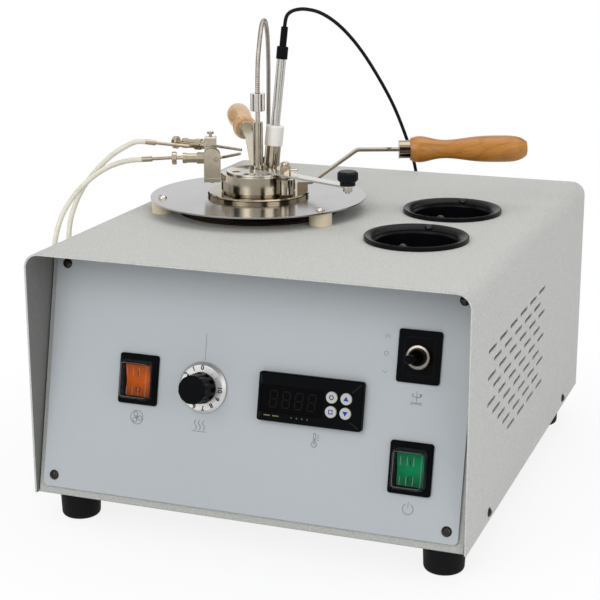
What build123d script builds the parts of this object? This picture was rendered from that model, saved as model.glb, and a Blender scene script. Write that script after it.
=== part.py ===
from build123d import *
import math
import os

# A closed-cup flash point tester, in millimetres.
# +X is the object's right, -Y its front, +Z up. Z = 0 is the face the feet stand on,
# X = 0 the middle of the case's width and Y = 0 the middle of its depth.

# ---------------------------------------------------------------- driving sizes

# Case
CASE_W = 334.0
CASE_D = 396.0
CASE_H = 186.0
CASE_BEND = 11.5
SHEET = 1.5
WALL_GAP = 1.0
SCREW_INSET = 64.5
SCREW_RISE = 7.0
TRAY_LIP = 18.0

# Feet
FOOT_R = 15.6
FOOT_H = 25.0
FOOT_EDGE = 3.5
FOOT_INSET_X = 23.0
FOOT_INSET_FRONT = 29.0
FOOT_INSET_REAR = 43.0

# Vent slots in the sides
VENT_L = 23.5
VENT_H = 2.7
VENT_PITCH = 33.0
VENT_ROW_PITCH = 9.75
VENT_COLUMNS = 6
VENT_ROWS = 9
VENT_FRONT = 60.5
VENT_TOP_DROP = 54.5
VENT_FULL_ROWS = 5

# Front panel
PANEL_TILT = 12.5
PANEL_SETBACK = 0.2
PANEL_W = CASE_W - 13.0
PANEL_LOW = 6.6
PANEL_HIGH = 183.0
PANEL_T = 2.0
PANEL_CORNER = 4.0
PANEL_SCREW_X = CASE_W / 2 - 15.0
PANEL_SCREW_LOW = 15.3
PANEL_SCREW_HIGH = 174.6
PANEL_SCREW_R = 3.8
PANEL_SCREW_H = 2.4
FRONT_WINDOW_W = CASE_W - 46.0
FRONT_WINDOW_LOW = 24.0
FRONT_WINDOW_HIGH = 166.0

# Controls on the panel: centre across as a share of the case's width, centre up the slope
FAN_SWITCH = (-0.2608 * CASE_W, 94.8)
MAIN_SWITCH = (0.3692 * CASE_W, 55.6)
TOGGLE = (0.3695 * CASE_W, 133.1)
REGULATOR = (-0.1075 * CASE_W, 94.3)
METER = (0.1422 * CASE_W, 94.1)

# Rocker switches
SWITCH_W = 31.0
SWITCH_H = 37.0
SWITCH_BEZEL = 2.5
SWITCH_BODY_DEPTH = 30.0
SWITCH_BODY_EDGE = 2.0
ROCKER_W = 19.0
ROCKER_H = 23.5
ROCKER_TILT = 8.0
ROCKER_RISE = 3.0
ROCKER_DIP = 1.2
ROCKER_PIVOT_DEPTH = 4.0
ROCKER_BELLY = 9.5
ROCKER_GAP = 0.9
CAP_RIM = (3.6, 4.4)
CAP_H = 8.5
CAP_WALL = 1.0

# Toggle switch
TOGGLE_PLATE_T = 1.5
TOGGLE_BUSH_R = 6.0
TOGGLE_BUSH_TOP = 9.0
TOGGLE_NUT_R = 8.5
TOGGLE_NUT_T = 4.0
TOGGLE_BORE_R = 4.4
TOGGLE_PIVOT = 5.0
TOGGLE_BALL_R = 4.1
TOGGLE_TIP_R = 3.1
TOGGLE_NECK_R = 2.2
TOGGLE_LENGTH = 31.0
TOGGLE_BODY = (17.0, 30.0, 28.0)

# Heating regulator
DIAL_R = 18.6
DIAL_FACE_R = 16.5
DIAL_T = 4.0
KNOB_R = 11.6
KNOB_FACE_R = 10.4
KNOB_H = 18.0
KNOB_FLUTES = 12
KNOB_FLUTE_R = 1.9
KNOB_SHAFT_R = 3.0
KNOB_SHAFT_L = 10.0
REGULATOR_R = 21.0
REGULATOR_DEPTH = 26.0

# Panel meter
METER_W = 78.0
METER_H = 35.0
METER_BEZEL = 5.5
METER_BODY_EDGE = 1.8
METER_DEPTH = 60.0
METER_WINDOW = (47.0, 19.5)
METER_WINDOW_AT = (-13.0, -1.2)
METER_WINDOW_DIP = 1.0
BUTTON_R = 4.2
BUTTON_GAP = 0.3
BUTTON_PROUD = 1.0
BUTTON_TRAVEL = 1.0
BUTTON_LENGTH = 6.0
BUTTON_LEFT = 16.5
BUTTON_PITCH_X = 10.7
BUTTON_TOP = 4.6
BUTTON_PITCH_Y = 10.2

# Cup axis, and what stands round it. Heights are over the top of the case.
CUP_X = -63.0
CUP_Y = 0.0
BATH_HOLE_R = 65.0
SPACER_R = 9.0
SPACER_H = 10.5
SPACER_ORBIT = 77.8
SPACER_ANGLES = (-150.0, -30.0, 90.0)
PLATE_R = 87.3
PLATE_T = 1.2
PLATE_BORE_R = 28.4
DOME_R = 3.7
DOME_H = 2.6
DOME_SHANK_R = 1.9
SHIELD_SCREW_TAIL = 8.0
SHIELD_NUT_T = 3.0
HOLE_GAP = 0.2

# Test cup
CUP_R = 27.4
CUP_BORE_R = 25.4
CUP_DEPTH = 56.0
CUP_FLOOR_T = 2.4
FLANGE_R = 41.0
FLANGE_T = 3.5
NECK_R = 28.0
NECK_H = 13.6

# Cover
COVER_R = 30.0
COVER_SKIRT_GAP = 0.3
COVER_SKIRT_LIFT = 1.6
LID_T = 1.6
BOSS_R = 6.5
BOSS_ORBIT = 31.5
BUSH_R = 4.1
BUSH_H = 40.6
BUSH_NUT_R = 6.6
BUSH_NUT_T = 3.0
PORT_W = 10.0
PORT_L = 9.0
SIDE_PORT_W = 6.0
SIDE_PORT_L = 6.0
SIDE_PORT_TURN = 50.0
TONGUE_W = 8.0
TONGUE_REACH = 38.0

# Shutter and its lever
SHUTTER_R = 25.6
SHUTTER_T = 1.3
SHUTTER_HUB_R = 7.2
SHUTTER_GAP = 0.1
SHUTTER_TURN = 38.0
LEVER_ANGLE = -25.0
LEVER_T = 1.5
LEVER_ROOT_W = 13.0
LEVER_TIP_W = 9.0
LEVER_REACH = 100.0
LEVER_KNOB_R = 8.0
LEVER_KNOB_H = 11.0
LEVER_STUD_R = 2.0
LEVER_STUD_DROP = 4.6
LEVER_NUT_R = 3.6
LEVER_NUT_T = 3.0
DETENT_R = 5.6
DETENT_NUT = (4.4, 5.5)
DETENT_CROWN = (3.4, 9.5)
DETENT_PIN = (9.5, 4.5, 3.5, 0.9)

# Burner, in its own frame: X inward to the cup axis, Y back, Z over the case
BURNER_TURN = 20.4
BLOCK_LEFT = -43.6
BLOCK_RIGHT = -30.5
BLOCK_FRONT = -5.0
BLOCK_JOIN = 4.0
BLOCK_BACK = 13.0
BLOCK_BOTTOM = 22.9
BLOCK_ARCH_TOP = 50.0
REAR_BLOCK_RIGHT = -33.8
REAR_BLOCK_TOP = 57.8
FINIAL_NECK_R = 1.2
FINIAL_R = 2.8
FINIAL_H = 4.0
FINIAL_T = 1.6
FOOT_LEDGE = (0.8, 3.2)
PIVOT = (-33.6, 41.3)
PIVOT_HOLE_R = 1.7
PIVOT_PIN_R = 1.4
SLIT = (-2.4, 1.4)
SLIT_LEFT = -37.2
SLIT_BOTTOM = 37.5
JET_HUB_R = 3.0
JET_R = 1.15
JET_KNEE = (-28.5, 42.4)
JET_TIP = (-14.0, -10.5, 47.0)
PILOT_ROOT = (-35.0, 6.5, 50.5)
PILOT_TIP = (-13.2, -5.0, 49.2)
TONGUE_SLOT_GAP = 0.1

# Gas valves
VALVE_AT = (-0.5, 41.8)
REAR_VALVE_AT = (8.5, 51.2)
REAR_VALVE_TURN = -25.0
REAR_VALVE_STEP = 2.5
VALVE_HEX = 8.4
VALVE_HEX_L = 5.6
VALVE_BODY_R = 3.7
VALVE_BODY_L = 14.0
VALVE_RING_R = 4.2
VALVE_LENGTH = 17.2
NEEDLE_R = 1.2
NEEDLE_BORE_R = 1.35
NEEDLE_IN = 8.0
NEEDLE_KNOB_AT = 22.0
NEEDLE_KNOB_L = 3.8
NEEDLE_KNOB_R = 5.2
PIPE_R = 1.35
TAIL_R = 2.2
TAIL_L = 8.5
FRONT_TAIL = (-94.5, 6.8, 39.4)
FRONT_PIPE_BEND = (-55.5, 6.8, 41.6)
FRONT_PIPE_END = (-53.5, 2.0, 41.8)
REAR_TAIL = (-91.0, 4.0, 54.4)
REAR_PIPE_BEND = (-56.4, 5.0, 50.4)
REAR_PIPE_END = (-52.0, 10.5, 50.4)

# Stirrer and its drive
ROD_R = 1.9
ROD_BORE_R = 2.0
ROD_TOP = 80.0
ROD_BOTTOM = -24.0
UPPER_BLADE_R = 7.5
UPPER_BLADE_AT = 8.0
LOWER_BLADE_R = 16.0
LOWER_BLADE_AT = -22.0
BLADE_W = 6.0
BLADE_T = 0.9
BLADE_PITCH = 35.0
COUPLING_R = 5.85
COUPLING_H = 14.0
SHAFT_CORD_R = 1.9
SOCKET_XY = (-116.5, CASE_D / 2 - 40.5)
SOCKET_FLANGE_R = 9.0
SOCKET_FLANGE_T = 2.5
SOCKET_R = 5.0
SOCKET_H = 12.0
MOTOR_R = 22.0
MOTOR_H = 62.0
MOTOR_DROP = 26.0
MOTOR_PLATE = 56.0
MOTOR_PLATE_T = 3.0
MOTOR_POST_R = 3.5

# Temperature probe, along its own leaning axis from the top of the lid
PROBE_ANGLE = 63.6
PROBE_ORBIT = 14.0
PROBE_LEAN = 5.9
PROBE_LEAN_TOWARD = 33.0
PROBE_NECK_R = 4.8
PROBE_NECK_H = 3.6
COLLAR_R = 6.4
COLLAR_TOP = 20.2
BUSHING_R = 7.3
BUSHING_TOP = 36.4
PROBE_R = 3.7
PROBE_BORE_R = 3.85
PROBE_IN = 46.0
PROBE_OUT = 90.0
BOOT_R = 4.6
BOOT_STEP = 10.0
BOOT_NECK_R = 2.8
BOOT_NECK = 15.5
CABLE_R = 1.5
CABLE_LEAD = 5.4
CABLE_PORT_TOP = 124.0

# Handles: a flat bar that rises from its root and runs level to a wooden grip
BAR_W = 8.0
BAR_T = 2.0
BAR_BEND = 6.0
CUP_HANDLE_ANGLE = 21.8
CUP_HANDLE_ROOT = (31.5, 21.5)
CUP_HANDLE_RISE = ((43.0, 21.5), (80.0, 48.0))
COVER_HANDLE_ANGLE = 117.0
COVER_HANDLE_ROOT = (20.0, 31.4)
COVER_HANDLE_RISE = ((32.0, 31.4), (76.0, 45.8))
LUG_L = 8.5
FERRULE_AT = 113.5
FERRULE_R = 7.2
FERRULE_L = 9.2
GRIP_L = 94.5
GRIP_FORM = ((0.0, 8.6), (5.7, 10.5), (21.2, 8.1), (50.0, 9.7), (76.0, 10.7), (90.0, 8.6))
GRIP_END_R = 5.6

# Spare cup wells
WELL_X = CASE_W / 2 - 78.5
WELL_YS = (-61.8, 40.7)
WELL_RIM_R = 39.4
WELL_RIM_H = 3.6
WELL_BORE_R = 30.8
WELL_LIP = 0.6
WELL_THROAT = 2.2
WELL_FLARE = (1.2, 0.6)
WELL_DEPTH = 62.0
WELL_WALL = 1.2
WELL_SCREW_ORBIT = 34.6
WELL_SCREW_R = 3.2
WELL_SCREW_SEAT = 1.5
WELL_SCREW_H = 3.0
WELL_SHANK_R = 1.5

# Air bath under the plate
BATH_R = 45.5
BATH_BORE_R = 34.0
BATH_DEPTH = 56.0
BATH_FLOOR = 8.0
BATH_TOP_DROP = 3.0
BATH_FLANGE_R = 60.0
BATH_FLANGE_T = 2.0
INSULATION_T = 9.0
INSULATION_GAP = 1.0
HEATER_R = 40.0
HEATER_T = 12.0
STAND_R = 44.0
STAND_T = 3.0
STAND_LEG_R = 4.0
STAND_LEG_ORBIT = 36.0

# Rear panel and what it carries
REAR_INSET = 1.5
INLET_XZ = (112.0, 40.0)
INLET_W = 48.0
INLET_H = 27.0
INLET_FLANGE = 2.0
INLET_BODY = (40.0, 22.0, 26.0)
INLET_POCKET = (25.0, 17.0, 15.0)
INLET_PINS = ((-7.0, -1.5), (7.0, -1.5), (0.0, 3.0))
INLET_PIN = (2.0, 4.0)
FAN_XZ = (60.0, 110.0)
FAN_SIZE = 80.0
FAN_T = 25.0
FAN_BORE_R = 38.0
FAN_HUB_R = 15.0
FAN_BLADES = 7
FAN_BLADE_T = 1.6
FAN_BLADE_PITCH = 38.0
FAN_SPIDER_T = 3.0
GRILLE_SLOT = 5.0
GRILLE_PITCH = 9.0
CABLE_PORT = (18.0, 18.0, 14.0)
CABLE_PORT_X = 14.0
CABLE_PORT_NECK_R = 4.0
CABLE_PORT_NECK = 6.0

# Gas inlets on the left side
INLET_REACH = 17.0
INLET_STEM_R = 3.4
INLET_NUT_R = 7.5
INLET_NUT_T = 3.0
INLET_BARB_TOP = 118.0
INLET_BARB_DROP = 20.0
TUBE_R = 2.1
TUBE_LEAD = 5.0
GAS_INLET_YS = (-82.0, -103.0)

# ---------------------------------------------------------------- derived places

CASE_BOTTOM = FOOT_H
TOP = CASE_BOTTOM + CASE_H
FRONT = -CASE_D / 2
BACK = CASE_D / 2
SIDE = CASE_W / 2
INNER_W = CASE_W - 2 * SHEET
FLOOR_TOP = CASE_BOTTOM + SHEET
REAR_FACE = BACK - REAR_INSET
CABLE_PORT_Y = REAR_FACE + CABLE_PORT[1] / 2
GAS_INLET_X = -SIDE - INLET_REACH

PLATE_TOP = SPACER_H + PLATE_T
FLANGE_TOP = PLATE_TOP + FLANGE_T
CUP_TOP = FLANGE_TOP + NECK_H
LID_TOP = CUP_TOP + LID_T
SHUTTER_BOTTOM = LID_TOP + SHUTTER_GAP
SHUTTER_TOP = SHUTTER_BOTTOM + SHUTTER_T
LEVER_TOP = SHUTTER_TOP + LEVER_T
BUSH_TOP = LID_TOP + BUSH_H
COUPLING_TOP = ROD_TOP + COUPLING_H

# The flame port lies under the tip of the jet once the jet has swung down
JET_ARM = math.hypot(JET_TIP[0] - PIVOT[0], JET_TIP[2] - PIVOT[1])
JET_REST = math.degrees(math.atan2(JET_TIP[2] - PIVOT[1], JET_TIP[0] - PIVOT[0]))
JET_DIP = math.degrees(math.asin((PIVOT[1] - (SHUTTER_TOP - 0.8)) / JET_ARM))
JET_SWING = JET_REST + JET_DIP
PORT_U = PIVOT[0] + JET_ARM * math.cos(math.radians(JET_DIP))
PORT_N = JET_TIP[1]
PORT_ORBIT = math.hypot(PORT_U, PORT_N)
PORT_ANGLE = math.degrees(math.atan2(PORT_N, PORT_U)) + BURNER_TURN

panel_plane = Plane(
    origin=(0, FRONT + PANEL_SETBACK, CASE_BOTTOM),
    x_dir=(1, 0, 0),
    z_dir=(0, -math.cos(math.radians(PANEL_TILT)), math.sin(math.radians(PANEL_TILT))),
)

# ---------------------------------------------------------------- helpers


def cyl(radius, low, high, x=0.0, y=0.0):
    """An upright cylinder between two heights."""
    stand = (Align.CENTER, Align.CENTER, Align.MIN)
    return Pos(x, y, low) * Cylinder(radius, high - low, align=stand)


def block(x0, x1, y0, y1, z0, z1):
    """A box between its two corners."""
    low = (Align.MIN, Align.MIN, Align.MIN)
    return Pos(x0, y0, z0) * Box(x1 - x0, y1 - y0, z1 - z0, align=low)


def plate(width, height, low, high, corner, x=0.0, y=0.0):
    """A plate with rounded corners between two heights."""
    outline = Pos(x, y, low) * RectangleRounded(width, height, corner)
    return extrude(outline, high - low)


def lathe(points):
    """A turned piece about Z from (radius, height) points."""
    return revolve(make_face(Plane.XZ * Polyline(*points, close=True)), Axis.Z)


def rod(start, end, radius):
    """A round bar from one point to another."""
    start, end = Vector(*start), Vector(*end)
    run = Plane(origin=start, z_dir=end - start)
    stand = (Align.CENTER, Align.CENTER, Align.MIN)
    return run.location * Cylinder(radius, (end - start).length, align=stand)


def dome(radius, height, low):
    """A domed screw head on its flat underside."""
    ball_r = (radius * radius + height * height) / (2 * height)
    ball = Pos(0, 0, low + height - ball_r) * Sphere(ball_r)
    return ball & cyl(radius + 1, low, low + height)


def polar(radius, angle):
    """The point at a radius and an angle in degrees."""
    turn = math.radians(angle)
    return radius * math.cos(turn), radius * math.sin(turn)


def on_panel(shape, x=0.0, y=0.0):
    """From the panel's own frame (X across, Y up the slope, Z outward) to the object's."""
    return panel_plane.location * Pos(x, y, 0) * shape


def at_axis(shape, turn=0.0):
    """From a frame on the cup axis at the top of the case to the object's."""
    return Pos(CUP_X, CUP_Y, TOP) * Rot(0, 0, turn) * shape


def at_probe(shape):
    """From the probe's own axis to the object's frame."""
    x, y = polar(PROBE_ORBIT, PROBE_ANGLE)
    lean = Rot(0, 0, PROBE_LEAN_TOWARD) * Rot(0, PROBE_LEAN, 0)
    return Pos(CUP_X + x, CUP_Y + y, TOP + LID_TOP) * lean * shape


def save(name, *solids):
    """Write one named sub-part, of one or more separate solids."""
    pieces = [solid for shape in solids for solid in shape.solids()]
    export_step(Compound(children=pieces), f"parts/{name}.step")


def cord_tube(name, points, radius):
    """A free cord: straight runs joined by arcs as large as the runs allow."""
    spots = [Vector(*p) for p in points]
    runs = [b - a for a, b in zip(spots, spots[1:])]
    radii = []
    for before, after in zip(runs, runs[1:]):
        half_turn = math.radians(before.get_angle(after)) / 2
        radii.append(0.45 * min(before.length, after.length) / math.tan(half_turn))
    path = FilletPolyline(*spots, radius=radii)
    section = Plane(origin=path @ 0, z_dir=path % 0) * Circle(radius)
    tube = sweep(section, path=path)
    expected = math.pi * radius**2 * path.length
    print(f"{name}: length {path.length:.1f}, volume / (section x length) "
          f"{tube.volume / expected:.4f}, radii {[round(r, 1) for r in radii]}")
    return tube


# ---------------------------------------------------------------- case


def vent_places():
    """Centres of the vent slots: staggered rows with the lower front corner cut off."""
    places = []
    for row in range(1, VENT_ROWS + 1):
        first = 1 + 0.5 * max(0, row - VENT_FULL_ROWS)
        column = 1.0 if row % 2 else 1.5
        while column <= VENT_COLUMNS:
            if column >= first:
                y = FRONT + VENT_FRONT + VENT_PITCH * (column - 1)
                places.append((y, TOP - VENT_TOP_DROP - VENT_ROW_PITCH * (row - 1)))
            column += 1
    return places


def case_screw_places():
    """Side screws of the hood: (side, y)."""
    return [(side, y) for side in (-1, 1) for y in (FRONT + SCREW_INSET, BACK - SCREW_INSET)]


def well_screw_places():
    return [(WELL_X, y + turn * WELL_SCREW_ORBIT) for y in WELL_YS for turn in (-1, 1)]


def make_hood():
    outer = Pos(0, 0, CASE_BOTTOM + CASE_H / 2) * Box(CASE_W, CASE_D, CASE_H)
    outer = fillet(outer.edges().filter_by(Axis.Y).group_by(Axis.Z)[-1], CASE_BEND)
    inside_h = CASE_H - SHEET
    inner = Pos(0, 0, CASE_BOTTOM + inside_h / 2 - 1) * Box(INNER_W, CASE_D + 2, inside_h + 2)
    inner = fillet(inner.edges().filter_by(Axis.Y).group_by(Axis.Z)[-1], CASE_BEND - SHEET)
    through = (TOP - CASE_BEND, TOP + 1)
    cuts = [cyl(BATH_HOLE_R, *through, CUP_X, CUP_Y)]
    cuts += [cyl(WELL_BORE_R + WELL_WALL + HOLE_GAP, *through, WELL_X, y) for y in WELL_YS]
    cuts += [cyl(WELL_SHANK_R + HOLE_GAP, *through, x, y) for x, y in well_screw_places()]
    cuts += [cyl(SOCKET_R + HOLE_GAP, *through, *SOCKET_XY)]
    for angle in SPACER_ANGLES:
        x, y = polar(SPACER_ORBIT, angle)
        cuts.append(cyl(DOME_SHANK_R + HOLE_GAP, *through, CUP_X + x, CUP_Y + y))
    for y, z in vent_places():
        slot = extrude(Plane.YZ * SlotOverall(VENT_L, VENT_H), CASE_W / 2 + 1, both=True)
        cuts.append(Pos(0, y, z) * slot)
    for side, y in case_screw_places():
        hole = Rot(0, 90, 0) * Cylinder(DOME_SHANK_R + HOLE_GAP, 3 * SHEET)
        cuts.append(Pos(side * SIDE, y, CASE_BOTTOM + SCREW_RISE) * hole)
    for y in GAS_INLET_YS:
        hole = Rot(0, 90, 0) * Cylinder(INLET_STEM_R + HOLE_GAP, 3 * SHEET)
        cuts.append(Pos(-SIDE, y, INLET_BARB_TOP - INLET_BARB_DROP) * hole)
    return outer - inner - cuts


def make_base_tray():
    lean = math.radians(PANEL_TILT)
    wall_top = (CASE_H - SHEET - WALL_GAP - 1) / math.cos(lean)
    wall_w = INNER_W - 2 * WALL_GAP
    wall = block(-wall_w / 2, wall_w / 2, 1, wall_top, -PANEL_T - SHEET, -PANEL_T)
    wall = fillet(wall.edges().filter_by(Axis.Z).group_by(Axis.Y)[-1], CASE_BEND - SHEET)
    middle = (FRONT_WINDOW_LOW + FRONT_WINDOW_HIGH) / 2
    tall = FRONT_WINDOW_HIGH - FRONT_WINDOW_LOW
    wall -= plate(FRONT_WINDOW_W, tall, -PANEL_T - SHEET - 1, 1 - PANEL_T, 5, 0, middle)
    for side in (-1, 1):
        for height in (PANEL_SCREW_LOW, PANEL_SCREW_HIGH):
            wall -= cyl(DOME_SHANK_R + HOLE_GAP, -9, 1, side * PANEL_SCREW_X, height)
    floor_front = FRONT + PANEL_T + 1
    half = INNER_W / 2
    tray = block(-half, half, floor_front, REAR_FACE, CASE_BOTTOM, FLOOR_TOP)
    lip_top = CASE_BOTTOM + TRAY_LIP
    lip_front = floor_front + TRAY_LIP
    tray += block(-half, SHEET - half, lip_front, REAR_FACE, CASE_BOTTOM, lip_top)
    tray += block(half - SHEET, half, lip_front, REAR_FACE, CASE_BOTTOM, lip_top)
    rear_lip = REAR_FACE - SHEET
    tray += block(-half, half, rear_lip - SHEET, rear_lip, CASE_BOTTOM, lip_top)
    tray -= block(-half, half, rear_lip, BACK, FLOOR_TOP, TOP)
    for side, y in case_screw_places():
        hole = Rot(0, 90, 0) * Cylinder(DOME_SHANK_R, 6 * SHEET)
        tray -= Pos(side * half, y, CASE_BOTTOM + SCREW_RISE) * hole
    return tray + on_panel(wall)


def make_case_screws():
    screws = []
    for side, y in case_screw_places():
        screw = dome(DOME_R, DOME_H - 0.4, 0) + cyl(DOME_SHANK_R - 0.1, -5, 0.2)
        place = Pos(side * SIDE, y, CASE_BOTTOM + SCREW_RISE)
        screws.append(place * Rot(0, side * 90, 0) * screw)
    return screws


def make_feet():
    foot = lathe([(0, 0), (FOOT_R - 1, 0), (FOOT_R, FOOT_H), (0, FOOT_H)])
    foot = fillet(foot.edges().group_by(Axis.Z)[0], FOOT_EDGE)
    places = []
    for x in (FOOT_INSET_X - SIDE, SIDE - FOOT_INSET_X):
        for y in (FRONT + FOOT_INSET_FRONT, BACK - FOOT_INSET_REAR):
            places.append(Pos(x, y, 0) * foot)
    return places


def make_rear_panel():
    top = TOP - SHEET - WALL_GAP
    low = REAR_FACE - SHEET
    half = INNER_W / 2
    panel = block(WALL_GAP - half, half - WALL_GAP, low, REAR_FACE, FLOOR_TOP, top)
    upper = panel.edges().filter_by(Axis.Y).group_by(Axis.Z)[-1]
    panel = fillet(upper, CASE_BEND - SHEET)
    count = int(2 * FAN_BORE_R / GRILLE_PITCH)
    for step in range(count):
        rise = (step - (count - 1) / 2) * GRILLE_PITCH
        half_slot = math.sqrt(FAN_BORE_R**2 - (abs(rise) + GRILLE_SLOT / 2) ** 2) - 1
        outline = Plane.XZ * SlotOverall(2 * half_slot, GRILLE_SLOT)
        slot = extrude(outline, 2 * SHEET, both=True)
        panel -= Pos(FAN_XZ[0], low, CASE_BOTTOM + FAN_XZ[1] + rise) * slot
    wide, tall, _ = INLET_BODY
    x, z = INLET_XZ[0], CASE_BOTTOM + INLET_XZ[1]
    reach = (wide / 2 + HOLE_GAP, tall / 2 + HOLE_GAP)
    panel -= block(x - reach[0], x + reach[0], low - 1, BACK, z - reach[1], z + reach[1])
    return panel


# ---------------------------------------------------------------- front panel


def make_front_panel():
    middle = (PANEL_LOW + PANEL_HIGH) / 2
    panel = plate(PANEL_W, PANEL_HIGH - PANEL_LOW, -PANEL_T, 0, PANEL_CORNER, 0, middle)
    for x, y in (FAN_SWITCH, MAIN_SWITCH):
        wide = SWITCH_W - 2 * SWITCH_BODY_EDGE + 2 * HOLE_GAP
        tall = SWITCH_H - 2 * SWITCH_BODY_EDGE + 2 * HOLE_GAP
        panel -= plate(wide, tall, -5, 5, 1, x, y)
    wide = METER_W - 2 * METER_BODY_EDGE + 2 * HOLE_GAP
    tall = METER_H - 2 * METER_BODY_EDGE + 2 * HOLE_GAP
    panel -= plate(wide, tall, -5, 5, 1, *METER)
    panel -= cyl(TOGGLE_BUSH_R + HOLE_GAP, -5, 5, *TOGGLE)
    panel -= cyl(KNOB_SHAFT_R + 4 * HOLE_GAP, -5, 5, *REGULATOR)
    for side in (-1, 1):
        for height in (PANEL_SCREW_LOW, PANEL_SCREW_HIGH):
            panel -= cyl(DOME_SHANK_R + HOLE_GAP, -5, 5, side * PANEL_SCREW_X, height)
    return on_panel(panel)


def make_panel_screws():
    recess = Box(4.4, 1.0, 1.6) + Box(1.0, 4.4, 1.6)
    head = dome(PANEL_SCREW_R, PANEL_SCREW_H, 0) - Pos(0, 0, PANEL_SCREW_H) * recess
    screw = head + cyl(DOME_SHANK_R - 0.1, -7, 0.2)
    places = [(s * PANEL_SCREW_X, h) for s in (-1, 1) for h in (PANEL_SCREW_LOW, PANEL_SCREW_HIGH)]
    return [on_panel(screw, x, y) for x, y in places]


def rocker_outline():
    half = ROCKER_H / 2
    depth = ROCKER_PIVOT_DEPTH
    shape = [(-half, ROCKER_RISE), (0, ROCKER_DIP), (half, ROCKER_RISE),
             (half - 1, -depth), (half / 2, -ROCKER_BELLY), (-half / 2, -ROCKER_BELLY),
             (1 - half, -depth)]
    return make_face(Polyline(*shape, close=True))


def make_rocker():
    """A rocker, pressed at its lower half, about a pin across the housing."""
    body = extrude(Plane.YZ * rocker_outline(), ROCKER_W / 2, both=True)
    pin = Rot(0, 90, 0) * Cylinder(1.5, ROCKER_W + 2.0)
    body += Pos(0, 0, -ROCKER_PIVOT_DEPTH) * pin
    turned = Rot(ROCKER_TILT, 0, 0) * Pos(0, 0, ROCKER_PIVOT_DEPTH) * body
    return Pos(0, 0, -ROCKER_PIVOT_DEPTH) * turned


def make_switch_housing():
    wide = SWITCH_W - 2 * SWITCH_BODY_EDGE
    tall = SWITCH_H - 2 * SWITCH_BODY_EDGE
    bezel = plate(SWITCH_W, SWITCH_H, 0, SWITCH_BEZEL, 2)
    bezel = chamfer(bezel.edges().group_by(Axis.Z)[-1], 0.8)
    body = bezel + plate(wide, tall, -SWITCH_BODY_DEPTH, 0, 1)
    swing = math.radians(ROCKER_TILT)
    reach = (ROCKER_H / 2) * math.cos(swing) + (ROCKER_RISE + ROCKER_PIVOT_DEPTH) * math.sin(swing)
    pocket_h = 2 * (reach + ROCKER_GAP / 2)
    floor = -ROCKER_BELLY - ROCKER_H / 4 * math.sin(swing) - ROCKER_GAP
    body -= plate(ROCKER_W + ROCKER_GAP, pocket_h, floor, 9, 0.5)
    hole = Rot(0, 90, 0) * Cylinder(1.6, ROCKER_W + 2.4)
    return body - Pos(0, 0, -ROCKER_PIVOT_DEPTH) * hole


def make_switch_cap():
    """The clear splash cap over a rocker, open at its back."""
    wide, tall = SWITCH_W - 2 * CAP_RIM[0], SWITCH_H - 2 * CAP_RIM[1]
    low, high = SWITCH_BEZEL, SWITCH_BEZEL + CAP_H
    outer = plate(wide, tall, low, high, 3)
    outer = fillet(outer.edges().group_by(Axis.Z)[-1], 2.5)
    inner = plate(wide - 2 * CAP_WALL, tall - 2 * CAP_WALL, low - 1, high - CAP_WALL, 2)
    inner = fillet(inner.edges().group_by(Axis.Z)[-1], 1.5)
    return outer - inner


def make_meter_case():
    bezel = plate(METER_W, METER_H, 0, METER_BEZEL, 2)
    bezel = chamfer(bezel.edges().group_by(Axis.Z)[-1], 1.0)
    wide, tall = METER_W - 2 * METER_BODY_EDGE, METER_H - 2 * METER_BODY_EDGE
    case = bezel + plate(wide, tall, -METER_DEPTH, 0, 1)
    case -= plate(*METER_WINDOW, METER_BEZEL - METER_WINDOW_DIP, METER_BEZEL + 1, 1, *METER_WINDOW_AT)
    floor = METER_BEZEL + BUTTON_PROUD - BUTTON_LENGTH - BUTTON_TRAVEL - BUTTON_GAP
    for x, y in button_places():
        case -= cyl(BUTTON_R + BUTTON_GAP, floor, METER_BEZEL + 1, x, y)
    return case


def button_places():
    """The four buttons, left to right and top to bottom, from the meter's centre."""
    return [(BUTTON_LEFT + c * BUTTON_PITCH_X, BUTTON_TOP - r * BUTTON_PITCH_Y)
            for r in range(2) for c in range(2)]


def make_button():
    top = METER_BEZEL + BUTTON_PROUD
    button = cyl(BUTTON_R, top - BUTTON_LENGTH, top)
    return fillet(button.edges().group_by(Axis.Z)[-1], 0.6)


def make_toggle_plate():
    return plate(SWITCH_W, SWITCH_H, 0, TOGGLE_PLATE_T, 2) - cyl(TOGGLE_BUSH_R + HOLE_GAP, -1, 3)


def make_toggle_nut():
    low, high = TOGGLE_PLATE_T, TOGGLE_PLATE_T + TOGGLE_NUT_T
    nut = cyl(TOGGLE_NUT_R, low, high)
    return chamfer(nut.edges().group_by(Axis.Z)[-1], 0.6)


def make_toggle_switch():
    wide, tall, deep = TOGGLE_BODY
    body = plate(wide, tall, -PANEL_T - deep, -PANEL_T, 1)
    body += cyl(TOGGLE_BUSH_R, -PANEL_T - 1, TOGGLE_BUSH_TOP) + make_toggle_nut()
    return body - cyl(TOGGLE_BORE_R, TOGGLE_PIVOT - TOGGLE_BORE_R - 1, TOGGLE_BUSH_TOP + 1)


def make_toggle_lever():
    """A bat lever, standing straight out in its middle position."""
    bat = lathe([(0, TOGGLE_PIVOT), (TOGGLE_NECK_R, TOGGLE_PIVOT),
                 (TOGGLE_NECK_R, TOGGLE_BUSH_TOP), (TOGGLE_TIP_R, TOGGLE_LENGTH - TOGGLE_TIP_R),
                 (0, TOGGLE_LENGTH - TOGGLE_TIP_R)])
    tip = Pos(0, 0, TOGGLE_LENGTH - TOGGLE_TIP_R) * Sphere(TOGGLE_TIP_R)
    return bat + tip + Pos(0, 0, TOGGLE_PIVOT) * Sphere(TOGGLE_BALL_R)


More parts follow.
